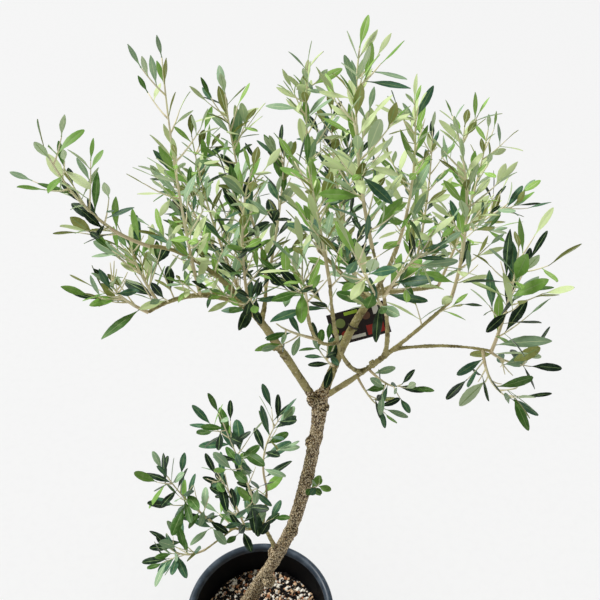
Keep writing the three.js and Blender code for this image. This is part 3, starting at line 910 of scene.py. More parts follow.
@dataclass
class Wood:
    """The trunk and boughs: one grown form with the bark's relief.

    The trunk tapers from `foot_radius` to `fork_radius`, with a flare at its foot and a knuckle at the
    fork. `lump`, `relief`, `fissure_share` and `pore_share` are how deep the bark's forms are, and their
    scales how fine. Old bark ends `young_gap` off the trunk and at `young_level`, on a ragged line.
    """

    foot_radius: float = 9.2 * MM
    fork_radius: float = 7.2 * MM
    flare: float = 6.4 * MM
    flare_share: float = 0.075
    knuckle: float = 1.3 * MM
    knuckle_at: float = 0.95
    knuckle_share: float = 0.035
    collar: float = 0.55
    collar_run: float = 3.0
    sides: int = 14
    row: float = 4 * MM
    fewest_rows: int = 6
    voxel: float = 0.85 * MM
    softness: float = 0.5
    soft_steps: int = 3
    lump: float = 1.2 * MM
    lump_scale: float = 45.0
    relief: float = 0.7 * MM
    streaks: Point = (420.0, 420.0, 150.0)
    fissure_level: float = 0.25
    fissure_share: float = 2.0
    pore_scale: float = 900.0
    pore_share: float = 0.5
    young_relief: float = 0.45
    knobs: tuple[tuple[Point, float], ...] = (
        ((73, -5, 626), 8.6),
        ((69, -9, 633), 5.6),
        ((83, -4, 616), 8.0),
        ((67, 3, 492), 9.6),
        ((24, 18, 300), 12.0),
        ((47, 6, 372), 10.6),
        ((13, 16, 232), 11.0),
        ((71, -2, 556), 8.8),
        ((33, -13, 712), 5.6),
        ((128, -24, 700), 3.6),
    )
    young_gap: float = 14 * MM
    young_level: float = 0.645
    ragged: float = 12 * MM
    ragged_scale: float = 90.0
    ragged_aside: float = 0.3
    old: BarkFinish = BarkFinish(
        "olive_bark", 0xA48C62, roughness=0.85, grain=0.0008, broad=260.0, fine=900.0
    )
    young: YoungBarkFinish = YoungBarkFinish(
        "young_bark", 0xA89D68, roughness=0.7, grain=0.0003, broad=160.0, fine=700.0
    )
    limbs: dict[str, Limb] = field(default_factory=dict)

    def trunk_radius(self, share: float) -> float:
        """Gives the trunk's radius.

        Args:
            share: The share of its length.

        Returns:
            The radius: a slow taper, with a flared foot and a knuckle at the fork.
        """
        taper = blend(self.foot_radius, self.fork_radius, share)
        flare = self.flare * math.exp(-share / self.flare_share)
        knuckle = self.knuckle * math.exp(-(((share - self.knuckle_at) / self.knuckle_share) ** 2))
        return taper + flare + knuckle

    def grow(self) -> None:
        """Lays out the trunk's axis and every limb's."""
        trunk = routed_axis([metres(p) for p in TRUNK_ROUTE])
        self.limbs["trunk"] = Limb("trunk", trunk, self.trunk_radius)
        for name, plan in LIMBS.items():
            start = self.limbs[plan.on].axis.at_step(plan.at)
            axis = bowed_axis(start, metres(plan.tip), metres(plan.bow))
            self.limbs[name] = Limb(name, axis, self.limb_taper(plan, axis.length))

    def limb_taper(self, plan: LimbPlan, length: float) -> Callable[[float], float]:
        """Gives the rule for a limb's radius.

        Args:
            plan: The limb's plan.
            length: How long the limb is.

        Returns:
            The radius by the share of its length: an even taper, and a collar where it leaves its parent.
        """
        foot, tip = (r * MM for r in plan.radii)

        def radius_at(share: float) -> float:
            """Gives the radius at a share of the length."""
            collar = self.collar * foot * math.exp(-share * length / (self.collar_run * foot))
            return blend(foot, tip, share) + collar

        return radius_at

    def build(self) -> bpy.types.Object:
        """Builds the wood as one grown body with lumps, fissures and pores.

        Returns:
            The finished piece.
        """
        draft = Draft()
        for limb in self.limbs.values():
            rows = max(self.fewest_rows, round(limb.axis.length / self.row))
            draft.tube(limb.axis, self.sides, rows, limb.radius_at)
        for place, size in self.knobs:
            self.add_knob(draft, metres(place), size * MM)
        rough = draft.piece("trunk_and_boughs", [self.old, self.young])
        grown = self.fused(rough)
        self.carve(grown.data)
        settle(grown, ["trunk", *LIMBS])
        return grown

    def add_knob(self, draft: Draft, place: Vector, radius: float) -> None:
        """Adds a healed stub, a many-sided ball half sunk in the wood."""
        corners, sides = grain_form()
        draft.add(np.array([tuple(place + Vector(c) * radius) for c in corners]), sides)

    def fused(self, rough: bpy.types.Object) -> bpy.types.Object:
        """Fuses the limbs to one skin and softens where they join.

        Args:
            rough: The piece whose tubes and knobs run into one another.

        Returns:
            The same piece with its new skin.
        """
        remesh = rough.modifiers.new("fuse", "REMESH")
        remesh.mode = "VOXEL"
        remesh.voxel_size = self.voxel
        soften = rough.modifiers.new("soften", "SMOOTH")
        soften.factor = self.softness
        soften.iterations = self.soft_steps
        depsgraph = bpy.context.evaluated_depsgraph_get()
        mesh = bpy.data.meshes.new_from_object(rough.evaluated_get(depsgraph))
        rough.modifiers.clear()
        rough.data = mesh
        mesh.materials.clear()
        for finish in (self.old, self.young):
            mesh.materials.append(finish.material())
        mesh.polygons.foreach_set("use_smooth", np.full(len(mesh.polygons), True))
        return rough

    def carve(self, mesh: bpy.types.Mesh) -> None:
        """Shapes the bark and deals it out, old on the trunk and young on the limbs.

        Args:
            mesh: The fused skin, which is moved in and out for lumps and fissures.
        """
        count = len(mesh.vertices)
        flat, outward = np.empty(count * 3), np.empty(count * 3)
        mesh.vertices.foreach_get("co", flat)
        mesh.vertex_normals.foreach_get("vector", outward)
        places, outward = flat.reshape(-1, 3), outward.reshape(-1, 3)
        near = self.trunk_gap(places)
        strength = np.where(near < self.young_gap, 1.0, self.young_relief)
        depth = np.array([self.depth_at(Vector(place)) for place in places])
        places = places + outward * (strength * depth)[:, None]
        mesh.vertices.foreach_set("co", places.ravel())
        centres = np.empty(len(mesh.polygons) * 3)
        mesh.polygons.foreach_get("center", centres)
        centres = centres.reshape(-1, 3)
        wander = [noise.noise(Vector(place) * self.ragged_scale) for place in centres]
        ragged = np.array(wander) * self.ragged
        above = centres[:, 2] + ragged > self.young_level
        aside = self.trunk_gap(centres) + ragged * self.ragged_aside > self.young_gap
        mesh.polygons.foreach_set("material_index", (above | aside).astype(np.int32))
        mesh.update()

    def trunk_gap(self, places: np.ndarray) -> np.ndarray:
        """Measures how far places lie from the trunk.

        Args:
            places: The places, one a row.

        Returns:
            For each, how far off the trunk's axis or the middle of the nearest knob is.
        """
        near = np.full(len(places), np.inf)
        knobs = np.array([tuple(metres(place)) for place, _ in self.knobs])
        for spot in np.concatenate([self.limbs["trunk"].axis.points, knobs]):
            near = np.minimum(near, np.linalg.norm(places - spot, axis=1))
        return near

    def depth_at(self, place: Vector) -> float:
        """Gives how far the bark stands out.

        Args:
            place: The place on the skin.

        Returns:
            The height of the lump, fissure and pore there.
        """
        lump = noise.noise(place * self.lump_scale) * self.lump
        streaked = Vector([run * scale for run, scale in zip(place, self.streaks)])
        fissure = (abs(noise.noise(streaked)) - self.fissure_level) * self.relief * self.fissure_share
        pore = noise.noise(place * self.pore_scale) * self.relief * self.pore_share
        return lump + fissure + pore


@dataclass
class Leaf:
    """One leaf in its place: where it grows, where it points and how its blade is shaped.

    `ends` says that it is the last leaf of its twig, which no twig goes without.
    """

    base: Vector
    heading: Vector
    face: Vector
    length: float
    width: float
    bluntness: float
    fold: float
    arch: float
    twist: float
    tint: int = 0
    under: int = 0
    ends: bool = False

    def probes(self) -> list[Vector]:
        """Gives the points along the midrib where its room is tested."""
        return [self.base + self.heading * (share * self.length) for share in PROBE_SHARES]


@dataclass(frozen=True)
class LeafBlade:
    """The blade that every leaf is cut from.

    `rows` are the shares of the blade's length where it has points, and `upper` and `lower` the places
    across it, from margin to margin. `roll` turns the margins down, and `lead` and `wedge` set how far
    along it is widest and how its foot narrows.
    """

    petiole: float = 0.09
    petiole_width: float = 0.0011
    rows: tuple[float, ...] = (0.0, 0.12, 0.3, 0.5, 0.7, 0.86, 0.96, 1.0)
    upper: tuple[float, ...] = (-1.0, -0.55, -0.05, 0.05, 0.55, 1.0)
    lower: tuple[float, ...] = (-1.0, -0.09, 0.09, 1.0)
    thickness: float = 0.45 * MM
    roll: float = 0.22
    lead: float = 1.1
    wedge: float = 0.4

    def outline(self, leaf: Leaf) -> list[tuple[float, float]]:
        """Gives the outline of one side.

        Args:
            leaf: The leaf.

        Returns:
            The run along the leaf and the half width there, for its foot and for each row.
        """
        blade = 1.0 - self.petiole
        spots = [(0.0, self.petiole_width / 2)]
        for row in self.rows:
            swell = max(0.0, math.sin(math.pi * row**self.lead)) ** leaf.bluntness
            wedge = min(1.0, row / self.wedge) ** 0.5
            half = max(leaf.width / 2 * swell * wedge, self.petiole_width / 3)
            spots.append(((self.petiole + blade * row) * leaf.length, half))
        return spots

    def sheet(self, leaf: Leaf, columns: Sequence[float], sunk: float) -> np.ndarray:
        """Gives the points of one side of a leaf.

        Args:
            leaf: The leaf.
            columns: The places across the blade, from -1 at one margin to 1 at the other.
            sunk: How far the middle of this side lies below the upper one.

        Returns:
            The points, row by row.
        """
        side = leaf.heading.cross(leaf.face)
        points = []
        for run, half in self.outline(leaf):
            share = run / leaf.length
            turn = leaf.twist * share
            across = side * math.cos(turn) + leaf.face * math.sin(turn)
            above = leaf.face * math.cos(turn) - side * math.sin(turn)
            fall = leaf.arch * leaf.length * share**2
            spine = leaf.base + leaf.heading * run - leaf.face * fall
            for column in columns:
                edge = abs(column)
                lift = half * (leaf.fold * edge - self.roll * edge**4) - sunk * (1 - edge**2)
                points.append(spine + across * (column * half) + above * lift)
        return np.array([tuple(p) for p in points])

    def faces(self, columns: Sequence[float], under: bool) -> list[tuple[int, ...]]:
        """Gives the faces of one side.

        Args:
            columns: The places across the blade.
            under: Whether it is the underside.

        Returns:
            The corners of each face, row by row.
        """
        wide = len(columns)
        faces = []
        for row in range(len(self.rows)):
            for k in range(wide - 1):
                low = row * wide + k
                face = (low, low + 1, low + wide + 1, low + wide)
                faces.append(face if under else face[::-1])
        return faces

    def cut(self, draft: Draft, leaf: Leaf) -> None:
        """Adds a leaf: its upper side, its underside and the midrib of both.

        Args:
            draft: The draft that takes it.
            leaf: The leaf. One of the lighter tints has the pale midrib.
        """
        rib = len(LEAF_FINISHES) - (1 if leaf.tint >= len(LeafTint) // 2 else 2)
        for columns, sunk, slot in (
            (self.upper, 0.0, leaf.tint),
            (self.lower, self.thickness, len(LeafTint) + leaf.under),
        ):
            middle = (len(columns) - 2) // 2
            row = [rib if k == middle else slot for k in range(len(columns) - 1)]
            draft.add(
                self.sheet(leaf, columns, sunk),
                self.faces(columns, sunk > 0),
                row * len(self.rows),
            )


@dataclass
class Shoot:
    """One leafy twig: its axis, its radii and its rank, with 0 for a leader."""

    axis: Axis
    radii: tuple[float, float]
    rank: int
    turn: float


@dataclass(frozen=True)
class Room:
    """Where leaves may stand: the space of each mass, and clear of the wood.

    The leaders are kept as short straight lines from `starts` to `ends`, with the number of each one's
    mass in `owners` and how far that mass stands out in `reaches`. `wood` are points along the limbs and
    `radii` the limbs' radii there.
    """

    starts: np.ndarray
    ends: np.ndarray
    owners: np.ndarray
    reaches: np.ndarray
    wood: np.ndarray
    radii: np.ndarray
    gap: float = 1.5 * MM

    @classmethod
    def survey(cls, leaders: dict[str, Axis], limbs: Sequence[Limb]) -> "Room":
        """Notes where every leader and limb runs.

        Args:
            leaders: The axis of each mass's leader, in the order of MASSES.
            limbs: The trunk and the limbs.

        Returns:
            The room that they leave.
        """
        starts, ends, owners, reaches = [], [], [], []
        for index, (name, axis) in enumerate(leaders.items()):
            points = axis.points[::ROUTE_STEPS]
            starts.extend(points[:-1])
            ends.extend(points[1:])
            owners.extend([index] * (len(points) - 1))
            reaches.extend([MASSES[name].reach * MM] * (len(points) - 1))
        wood, radii = [], []
        for limb in limbs:
            points = limb.axis.points[::WOOD_STRIDE]
            wood.extend(points)
            radii.extend(limb.radius_at(k / len(points)) for k in range(len(points)))
        return cls(*(np.array(part) for part in (starts, ends, owners, reaches, wood, radii)))

    def nearness(self, spot: Vector) -> np.ndarray:
        """Tells how near a point is to each short line of the leaders.

        Args:
            spot: The point.

        Returns:
            Its distance from each line, as a share of the reach of the line's mass.
        """
        place = np.array(spot)
        along = self.ends - self.starts
        part = np.einsum("ij,ij->i", place - self.starts, along)
        part = np.clip(part / np.einsum("ij,ij->i", along, along), 0, 1)
        return np.linalg.norm(self.starts + along * part[:, None] - place, axis=1) / self.reaches

    def nearest_mass(self, spot: Vector) -> str | None:
        """Finds the mass in whose space a point lies.

        Args:
            spot: The point.

        Returns:
            The mass's name, or None where the point lies in no mass's space.
        """
        near = self.nearness(spot)
        if near.min() >= 1:
            return None
        return list(MASSES)[self.owners[near.argmin()]]

    def fits(self, name: str | None, spots: Sequence[Vector]) -> bool:
        """Tells whether points have room.

        Args:
            name: The mass in whose space they have to be, or None for any mass's.
            spots: The points.

        Returns:
            Whether all of them are in that space and clear of the wood.
        """
        own = None if name is None else list(MASSES).index(name)
        for spot in spots:
            near = self.nearness(spot)
            nearest = near.argmin()
            if near[nearest] >= 1 or own not in (None, self.owners[nearest]):
                return False
            gaps = np.linalg.norm(self.wood - np.array(spot), axis=1)
            if np.any(gaps < self.radii + self.gap):
                return False
        return True


@dataclass(frozen=True)
class LeafPlay:
    """How much the leaves of one mass differ by chance: plus or minus, or from the first to the second.

    `turn` and `twist` are radians, `lean` and `end_lean` are degrees, and the others are shares.
    """

    turn: float = 0.3
    lean: float = 14.0
    end_lean: tuple[float, float] = (2.0, 14.0)
    step: tuple[float, float] = (0.85, 1.2)
    face: float = 0.5
    length: tuple[float, float] = (0.8, 1.2)
    fold: tuple[float, float] = (0.12, 0.4)
    arch: tuple[float, float] = (-0.03, 0.16)
    twist: float = 0.5


@dataclass
class Foliage:
    """The masses of leaves, grown by the solids' rule and carried to finer twigs and more leaves.

    The first fields are the rule's own: where side twigs stand on a leader, how they lean and lift, and
    how they shorten. `sizes` are the lengths of the sets of twigs, and `even_sets` and `even_keep` how
    many sets an even mass has and what share of its leaves stay.
    """

    wood: Wood
    first_share: float = 0.06
    last_share: float = 0.88
    place_start: float = 0.3
    place_play: float = 0.4
    lean: float = 50.0
    lean_spread: float = 24.0
    length_share: float = 0.62
    length_play: float = 0.2
    shortening: float = 0.4
    lift: float = 0.25
    curl: float = 0.12
    leader_radii: tuple[float, float] = (1.65 * MM, 0.55 * MM)
    twig_radii: tuple[float, float] = (0.8 * MM, 0.4 * MM)
    sizes: tuple[float, ...] = (1.0, 0.85, 0.7, 0.95, 0.8)
    fewest_sets: int = 2
    even_sets: int = 3
    even_keep: float = 0.94
    pair_step: float = 0.4
    first_pair: float = 8 * MM
    last_pair: float = 3 * MM
    twig_leaf: float = 0.95
    ageing: float = 1.5
    sunward: float = 0.9
    own_family_share: float = 0.4
    least_rise: float = 30 * MM
    apart: float = 0.15
    neighbours: int = 900
    seed: int = 1000
    spur_seed: int = 500
    spur_lean: float = 70.0
    spur_lift: float = 0.9
    spur_bow: float = 0.05
    spur_droop: float = -0.1
    spur_lengths: tuple[float, float] = (24 * MM, 42 * MM)
    twig_row: float = 7 * MM
    twig_rows: int = 4
    twig_sides: int = 6
    twig_youth: float = 0.45
    ages: tuple[float, float] = (0.3, 0.7)
    crown_pieces: int = 4
    play: LeafPlay = LeafPlay()
    blade: LeafBlade = LeafBlade()
    shoots: dict[str, list[Shoot]] = field(default_factory=dict)
    leaves: dict[str, list[Leaf]] = field(default_factory=dict)
    room: Room = field(init=False)

    def grow(self) -> None:
        """Grows the leader, twigs and leaves of every mass, and the spurs."""
        leaders = {name: self.leader(name) for name in MASSES}
        self.room = Room.survey(leaders, list(self.wood.limbs.values()))
        probes: list[Vector] = []
        for index, (name, plan) in enumerate(MASSES.items()):
            dice = random.Random(self.seed + index)
            twigs = [s for s in self.twigs(index, plan, leaders[name]) if self.has_room(name, s)]
            leader = Shoot(leaders[name], self.leader_radii, 0, self.phase(index, 0))
            self.shoots[name] = [leader, *twigs]
            keep = self.even_keep * plan.fullness * self.even_sets / self.sets_of(plan)
            kept: list[Leaf] = []
            for shoot in self.shoots[name]:
                for leaf in self.leaves_of(shoot, plan, dice):
                    spots = leaf.probes()
                    droops = leaf.heading.z < HABITS[plan.spray].droop
                    wanted = (dice.random() < keep or leaf.ends) and not droops
                    if wanted and self.room.fits(name, spots) and self.clear_of(leaf, probes):
                        kept.append(leaf)
                        probes.extend(spots)
            self.leaves[name] = kept
        self.grow_spurs(probes)
        LOG.info("leaves: %d", sum(len(kept) for kept in self.leaves.values()))
        LOG.info("twigs: %d", sum(len(kept) for kept in self.shoots.values()))

    def grow_spurs(self, probes: list[Vector]) -> None:
        """Grows the short leafy spurs of the limbs and gives each one's leaves to the nearest mass.

        Args:
            probes: The places that leaves have taken, to which the spurs' own are added.
        """
        dice = random.Random(self.spur_seed)
        for limb, (low, high, count) in SPURS.items():
            parent = self.wood.limbs[limb].axis
            for k in range(count):
                share = blend(low, high, (k + dice.random()) / count)
                turn = GOLDEN_TURN * k + dice.uniform(0, 1)
                rise = steer(parent.heading(share), turn, math.radians(self.spur_lean))
                rise = (rise + UP * (self.spur_lift - min(0.0, rise.z))).normalized()
                length = dice.uniform(*self.spur_lengths)
                base = parent.at(share)
                axis = bowed_axis(base, base + rise * length, UP * (self.spur_bow * length))
                spur = Shoot(axis, self.twig_radii, 1, turn)
                name = self.room.nearest_mass(axis.at(1.0))
                if name is None:
                    continue
                self.shoots[name].append(spur)
                for leaf in self.leaves_of(spur, MASSES[name], dice):
                    if leaf.heading.z < self.spur_droop:
                        continue
                    if self.room.fits(None, leaf.probes()) and self.clear_of(leaf, probes):
                        self.leaves[name].append(leaf)
                        probes.extend(leaf.probes())

    def leader(self, name: str) -> Axis:
        """Makes the axis of a mass's leader, which leaves its limb as a limb does.

        Args:
            name: The mass's name.

        Returns:
            The axis.
        """
        plan = MASSES[name]
        start = self.wood.limbs[plan.on].axis.at_step(plan.at)
        return bowed_axis(start, metres(plan.tip), metres(plan.bow))

    def phase(self, index: int, twig: int) -> float:
        """Gives the turn of the first pair of leaves about its twig."""
        return 2 * math.pi * chance(index, twig, 5)

    def sets_of(self, plan: MassPlan) -> int:
        """Gives how many sets of side twigs a mass bears, more for a full one."""
        sets = math.ceil(plan.fullness * self.even_sets)
        return min(len(self.sizes), max(self.fewest_sets, sets))

    def twigs(self, index: int, plan: MassPlan, leader: Axis) -> Iterator[Shoot]:
        """Grows the side twigs of a mass.

        Args:
            index: The mass's place in the order of MASSES.
            plan: The mass's plan.
            leader: The axis of its leader.

        Yields:
            The solid's own side twigs, then sets of finer ones between them.
        """
        sets = self.sets_of(plan)
        for rank, size in enumerate(self.sizes[:sets]):
            between = rank / sets
            for i in range(plan.twigs):
                twig = i + 1 + rank * plan.twigs
                play = self.place_play * chance(index, twig, 0)
                place = (i + self.place_start + between + play) / plan.twigs
                share = blend(self.first_share, self.last_share, min(place, 1.0))
                lean = math.radians(self.lean + self.lean_spread * (chance(index, twig, 1) - 0.5))
                turn = GOLDEN_TURN * (i + between) + 2 * math.pi * chance(index, 0, 2)
                length = plan.reach * MM * self.length_share * size
                full = 1 - self.length_play + self.length_play * chance(index, twig, 3)
                length *= full * (1 - self.shortening * share**2)
                base = leader.at(share)
                rise = steer(leader.heading(share), turn, lean) + UP * self.lift
                axis = bowed_axis(base, base + rise * length, -UP * (self.curl * length / 2))
                yield Shoot(axis, self.twig_radii, rank + 1, self.phase(index, twig))

    def leaves_of(self, shoot: Shoot, plan: MassPlan, dice: random.Random) -> Iterator[Leaf]:
        """Grows the leaves of one shoot.

        Args:
            shoot: The shoot.
            plan: The plan of the mass that it belongs to.
            dice: The mass's own random numbers.

        Yields:
            Opposite pairs of leaves, each a quarter turn on, and one leaf at the shoot's end.
        """
        habit, play = HABITS[plan.spray], self.play
        length = shoot.axis.length
        run = self.first_pair
        pair = 0
        while run < length - self.last_pair:
            share = run / length
            for half in (0, 1):
                turn = shoot.turn + QUARTER_TURN * pair + math.pi * half
                turn += dice.uniform(-play.turn, play.turn)
                lean = math.radians(blend(*habit.lean, share) + dice.uniform(-play.lean, play.lean))
                yield self.leaf(shoot, share, turn, lean, plan, dice)
            pair += 1
            run += self.pair_step * plan.leaf * MM * dice.uniform(*play.step)
        lean = math.radians(dice.uniform(*play.end_lean))
        last = self.leaf(shoot, 1.0, shoot.turn, lean, plan, dice)
        last.ends = True
        yield last

    def leaf(
        self,
        shoot: Shoot,
        share: float,
        turn: float,
        lean: float,
        plan: MassPlan,
        dice: random.Random,
    ) -> Leaf:
        """Gives one leaf of a shoot.

        Args:
            shoot: The twig that bears it.
            share: Where on the twig it grows.
            turn: Its angle round the twig.
            lean: Its angle off the twig.
            plan: The mass that it belongs to.
            dice: The mass's own random numbers.

        Returns:
            The leaf, with its tints dealt.
        """
        habit, play = HABITS[plan.spray], self.play
        tangent = shoot.axis.heading(share)
        heading = steer(tangent, turn, lean)
        face = tangent + UP * self.sunward
        face = (face - heading * face.dot(heading)).normalized()
        face = (face + heading.cross(face) * dice.uniform(-play.face, play.face)).normalized()
        foot, tip = habit.sizes
        youth = blend(foot if shoot.rank == 0 else self.twig_leaf, tip, share**self.ageing)
        length = plan.leaf * MM * youth * dice.uniform(*play.length)
        uppers, unders = TINT_SHARES[self.family(shoot.axis.at(share), plan, dice)]
        return Leaf(
            base=shoot.axis.at(share),
            heading=heading,
            face=face,
            length=length,
            width=length * dice.uniform(*habit.width),
            bluntness=dice.uniform(*habit.bluntness),
            fold=dice.uniform(*play.fold),
            arch=dice.uniform(*play.arch),
            twist=dice.uniform(-play.twist, play.twist),
            tint=dice.choices(range(len(uppers)), uppers)[0],
            under=dice.choices(range(len(unders)), unders)[0],
        )

    def family(self, base: Vector, plan: MassPlan, dice: random.Random) -> Spray:
        """Deals a leaf its colour family.

        Args:
            base: Where it grows.
            plan: The plan of its mass.
            dice: The mass's own random numbers.

        Returns:
            The mass's own family near the top, and often the darker one lower down.
        """
        foot = self.wood.limbs[plan.on].axis.at_step(plan.at).z
        height = (base.z - foot) / max(plan.tip[2] * MM - foot, self.least_rise)
        # Leaves low in a mass often take the darker family, partly for age and partly as painted shade.
        lower_family = LOW_LEAF_SPRAY.get(plan.spray, plan.spray)
        return lower_family if dice.random() > height + self.own_family_share else plan.spray

    def has_room(self, name: str, shoot: Shoot) -> bool:
        """Tells whether a twig stays in its mass's own space."""
        return self.room.fits(name, [shoot.axis.at(0.5), shoot.axis.at(1.0)])

    def clear_of(self, leaf: Leaf, probes: Sequence[Vector]) -> bool:
        """Tells whether a leaf keeps apart from its neighbours.

        Args:
            leaf: The leaf.
            probes: The places that the leaves before it have taken.

        Returns:
            Whether it stands as far off the latest of them as its own length asks.
        """
        if not probes:
            return True
        others = np.array([tuple(p) for p in probes[-self.neighbours :]])
        gaps = [np.linalg.norm(others - np.array(spot), axis=1).min() for spot in leaf.probes()]
        return min(gaps) >= self.apart * leaf.length

    def build_all(self) -> None:
        """Builds the twigs and the leaves, the crown's in four pieces and the low shoot's in one."""
        self.build_twigs()
        low = [name for name in MASSES if name.startswith("low_") and name not in CROWN_LOW]
        crown = [name for name in MASSES if name not in low]
        part = math.ceil(len(crown) / self.crown_pieces)
        for k in range(self.crown_pieces):
            self.build_leaves(f"crown_leaves_{k + 1}", crown[k * part : (k + 1) * part])
        self.build_leaves("low_leaves", low)

    def build_leaves(self, name: str, masses: Sequence[str]) -> bpy.types.Object:
        """Builds the joined leaves of several masses as one piece.

        Args:
            name: The piece's name.
            masses: The masses' names.

        Returns:
            The finished piece.
        """
        draft = Draft()
        for mass in masses:
            for leaf in self.leaves[mass]:
                self.blade.cut(draft, leaf)
        piece = draft.piece(name, LEAF_FINISHES)
        settle(piece, [f"leaves_{mass}" for mass in masses])
        return piece

    def build_twigs(self) -> bpy.types.Object:
        """Builds the joined twigs of all masses as one piece.

        Returns:
            The finished piece.
        """
        draft = Draft()
        for shoots in self.shoots.values():
            for shoot in shoots:
                foot, tip = shoot.radii
                rows = max(self.twig_rows, round(shoot.axis.length / self.twig_row))
                draft.tube(
                    shoot.axis,
                    self.twig_sides,
                    rows,
                    lambda share, foot=foot, tip=tip: blend(foot, tip, share),
                    self.age_at(shoot.rank),
                )
        piece = draft.piece("twigs", [age.value for age in TwigAge])
        settle(piece, [])
        return piece

    def age_at(self, rank: int) -> Callable[[float], int]:
        """Gives the rule for a twig's bark.

        Args:
            rank: The twig's rank, with 0 for a leader.

        Returns:
            The finish by the share of its length: woody at a leader's foot, green, then young.
        """

        def slot_at(share: float) -> int:
            """Gives the finish at a share of the length."""
            age = share + (self.twig_youth if rank else 0.0)
            return sum(age >= limit for limit in self.ages)

        return slot_at


@dataclass
class Pot:
    """The round nursery pot with its thick rolled lip.

    `base` and `neck` are the wall's radii at its foot and under its lip, as shares of the rim's. `step` is
    how far one shallow step of the wall stands out, and `edge` how far its edges are broken.
    """

    sides: int = 128
    base: float = 0.713
    neck: float = 0.903
    lip: float = 15 * MM
    wall: float = 2.5 * MM
    bead: float = 5.5 * MM
    foot: float = 3 * MM
    foot_ring: tuple[float, float] = (9 * MM, 7 * MM)
    edge: float = 1 * MM
    middle: float = 0.001
    wall_rows: int = 8
    step_row: int = 6
    step: float = 0.5 * MM
    bead_rows: int = 8
    bead_drop: float = 3 * MM
    lip_drop: float = 2 * MM
    lip_edge: float = 1.5 * MM
    inside_foot: float = 0.3
    shell: PatchedFinish = PatchedFinish(
        "pot_plastic",
        0x161A20,
        roughness=0.45,
        grain=0.00006,
        broad=220.0,
        fine=1100.0,
        second=0x20262E,
        second_roughness=0.6,
    )
    # The lip is the pot's black plastic painted blue-grey, with paler patches, as painted sheen on the
    # rolled bead.
    rim: PatchedFinish = PatchedFinish(
        "pot_lip_painted_sheen",
        0x333E4A,
        roughness=0.38,
        grain=0.00004,
        broad=220.0,
        fine=1100.0,
        second=0x4A5662,
        second_roughness=0.55,
    )
    # The inside wall is the same plastic painted near-black, as painted shade inside the pot.
    inside: Finish = Finish("pot_inside_painted_shade", 0x04060A, roughness=0.6, grain=0.00006, gloss=0.12)

    def profile(self, rim: float, top: float) -> list[Point]:
        """Draws the pot's half section, from the middle of its floor round the lip to its inside.

        Args:
            rim: The radius of its rim.
            top: Its height.

        Returns:
            The radius and height of each point, with the number of the finish of the band after it.
        """
        base, neck, under = self.base * rim, self.neck * rim, top - self.lip
        ring_in, ring_out = self.foot_ring
        points: list[Point] = [
            (self.middle, self.foot, 0),
            (base - ring_in, self.foot, 0),
            (base - ring_out, 0.0, 0),
            (base - self.edge, 0.0, 0),
            (base, self.edge, 0),
        ]
        for k in range(1, self.wall_rows):
            share = k / self.wall_rows
            step = self.step if k == self.step_row else 0.0
            points.append((blend(base, neck, share) + step, blend(0, under, share), 0))
        points += [
            (neck, under - self.edge, 0),
            (neck + self.edge, under, 0),
            (rim - self.lip_edge, under + self.step, 1),
        ]
        for k in range(self.bead_rows + 1):
            angle = math.pi * k / self.bead_rows
            out, up = self.bead * math.cos(angle), self.bead * math.sin(angle)
            points.append((rim - self.bead + out, top - self.bead + up, 1))
        points += [
            (rim - 2 * self.bead - self.step, top - self.bead - self.bead_drop, 2),
            (neck - self.wall, under - self.lip_drop, 2),
            (blend(base, neck, self.inside_foot) - self.wall, blend(0, under, self.inside_foot), 2),
        ]
        return points

    def build(self) -> bpy.types.Object:
        """Turns the pot.

        Returns:
            The finished piece.
        """
        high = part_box("pot")[1]
        draft = Draft()
        draft.lathe(self.profile(high.x, high.z), self.sides)
        piece = draft.piece("nursery_pot", [self.shell, self.rim, self.inside])
        settle(piece, ["pot"])
        return piece


class Stone(Enum):
    """The kinds of grain in the grit."""

    CREAM = Finish("grit_cream", 0xFFF9EA, 0.85, 0.0003)
    TAN = Finish("grit_tan", 0xE4C29C, 0.9, 0.0003)
    RUST = Finish("grit_rust", 0xA8714E, 0.9, 0.0003)
    # DARK grains are partly dark grit and partly painted shade in the gaps between the pale grains.
    DARK = Finish("grit_dark_and_painted_shade", 0x0C0604, 0.95, 0.0003)


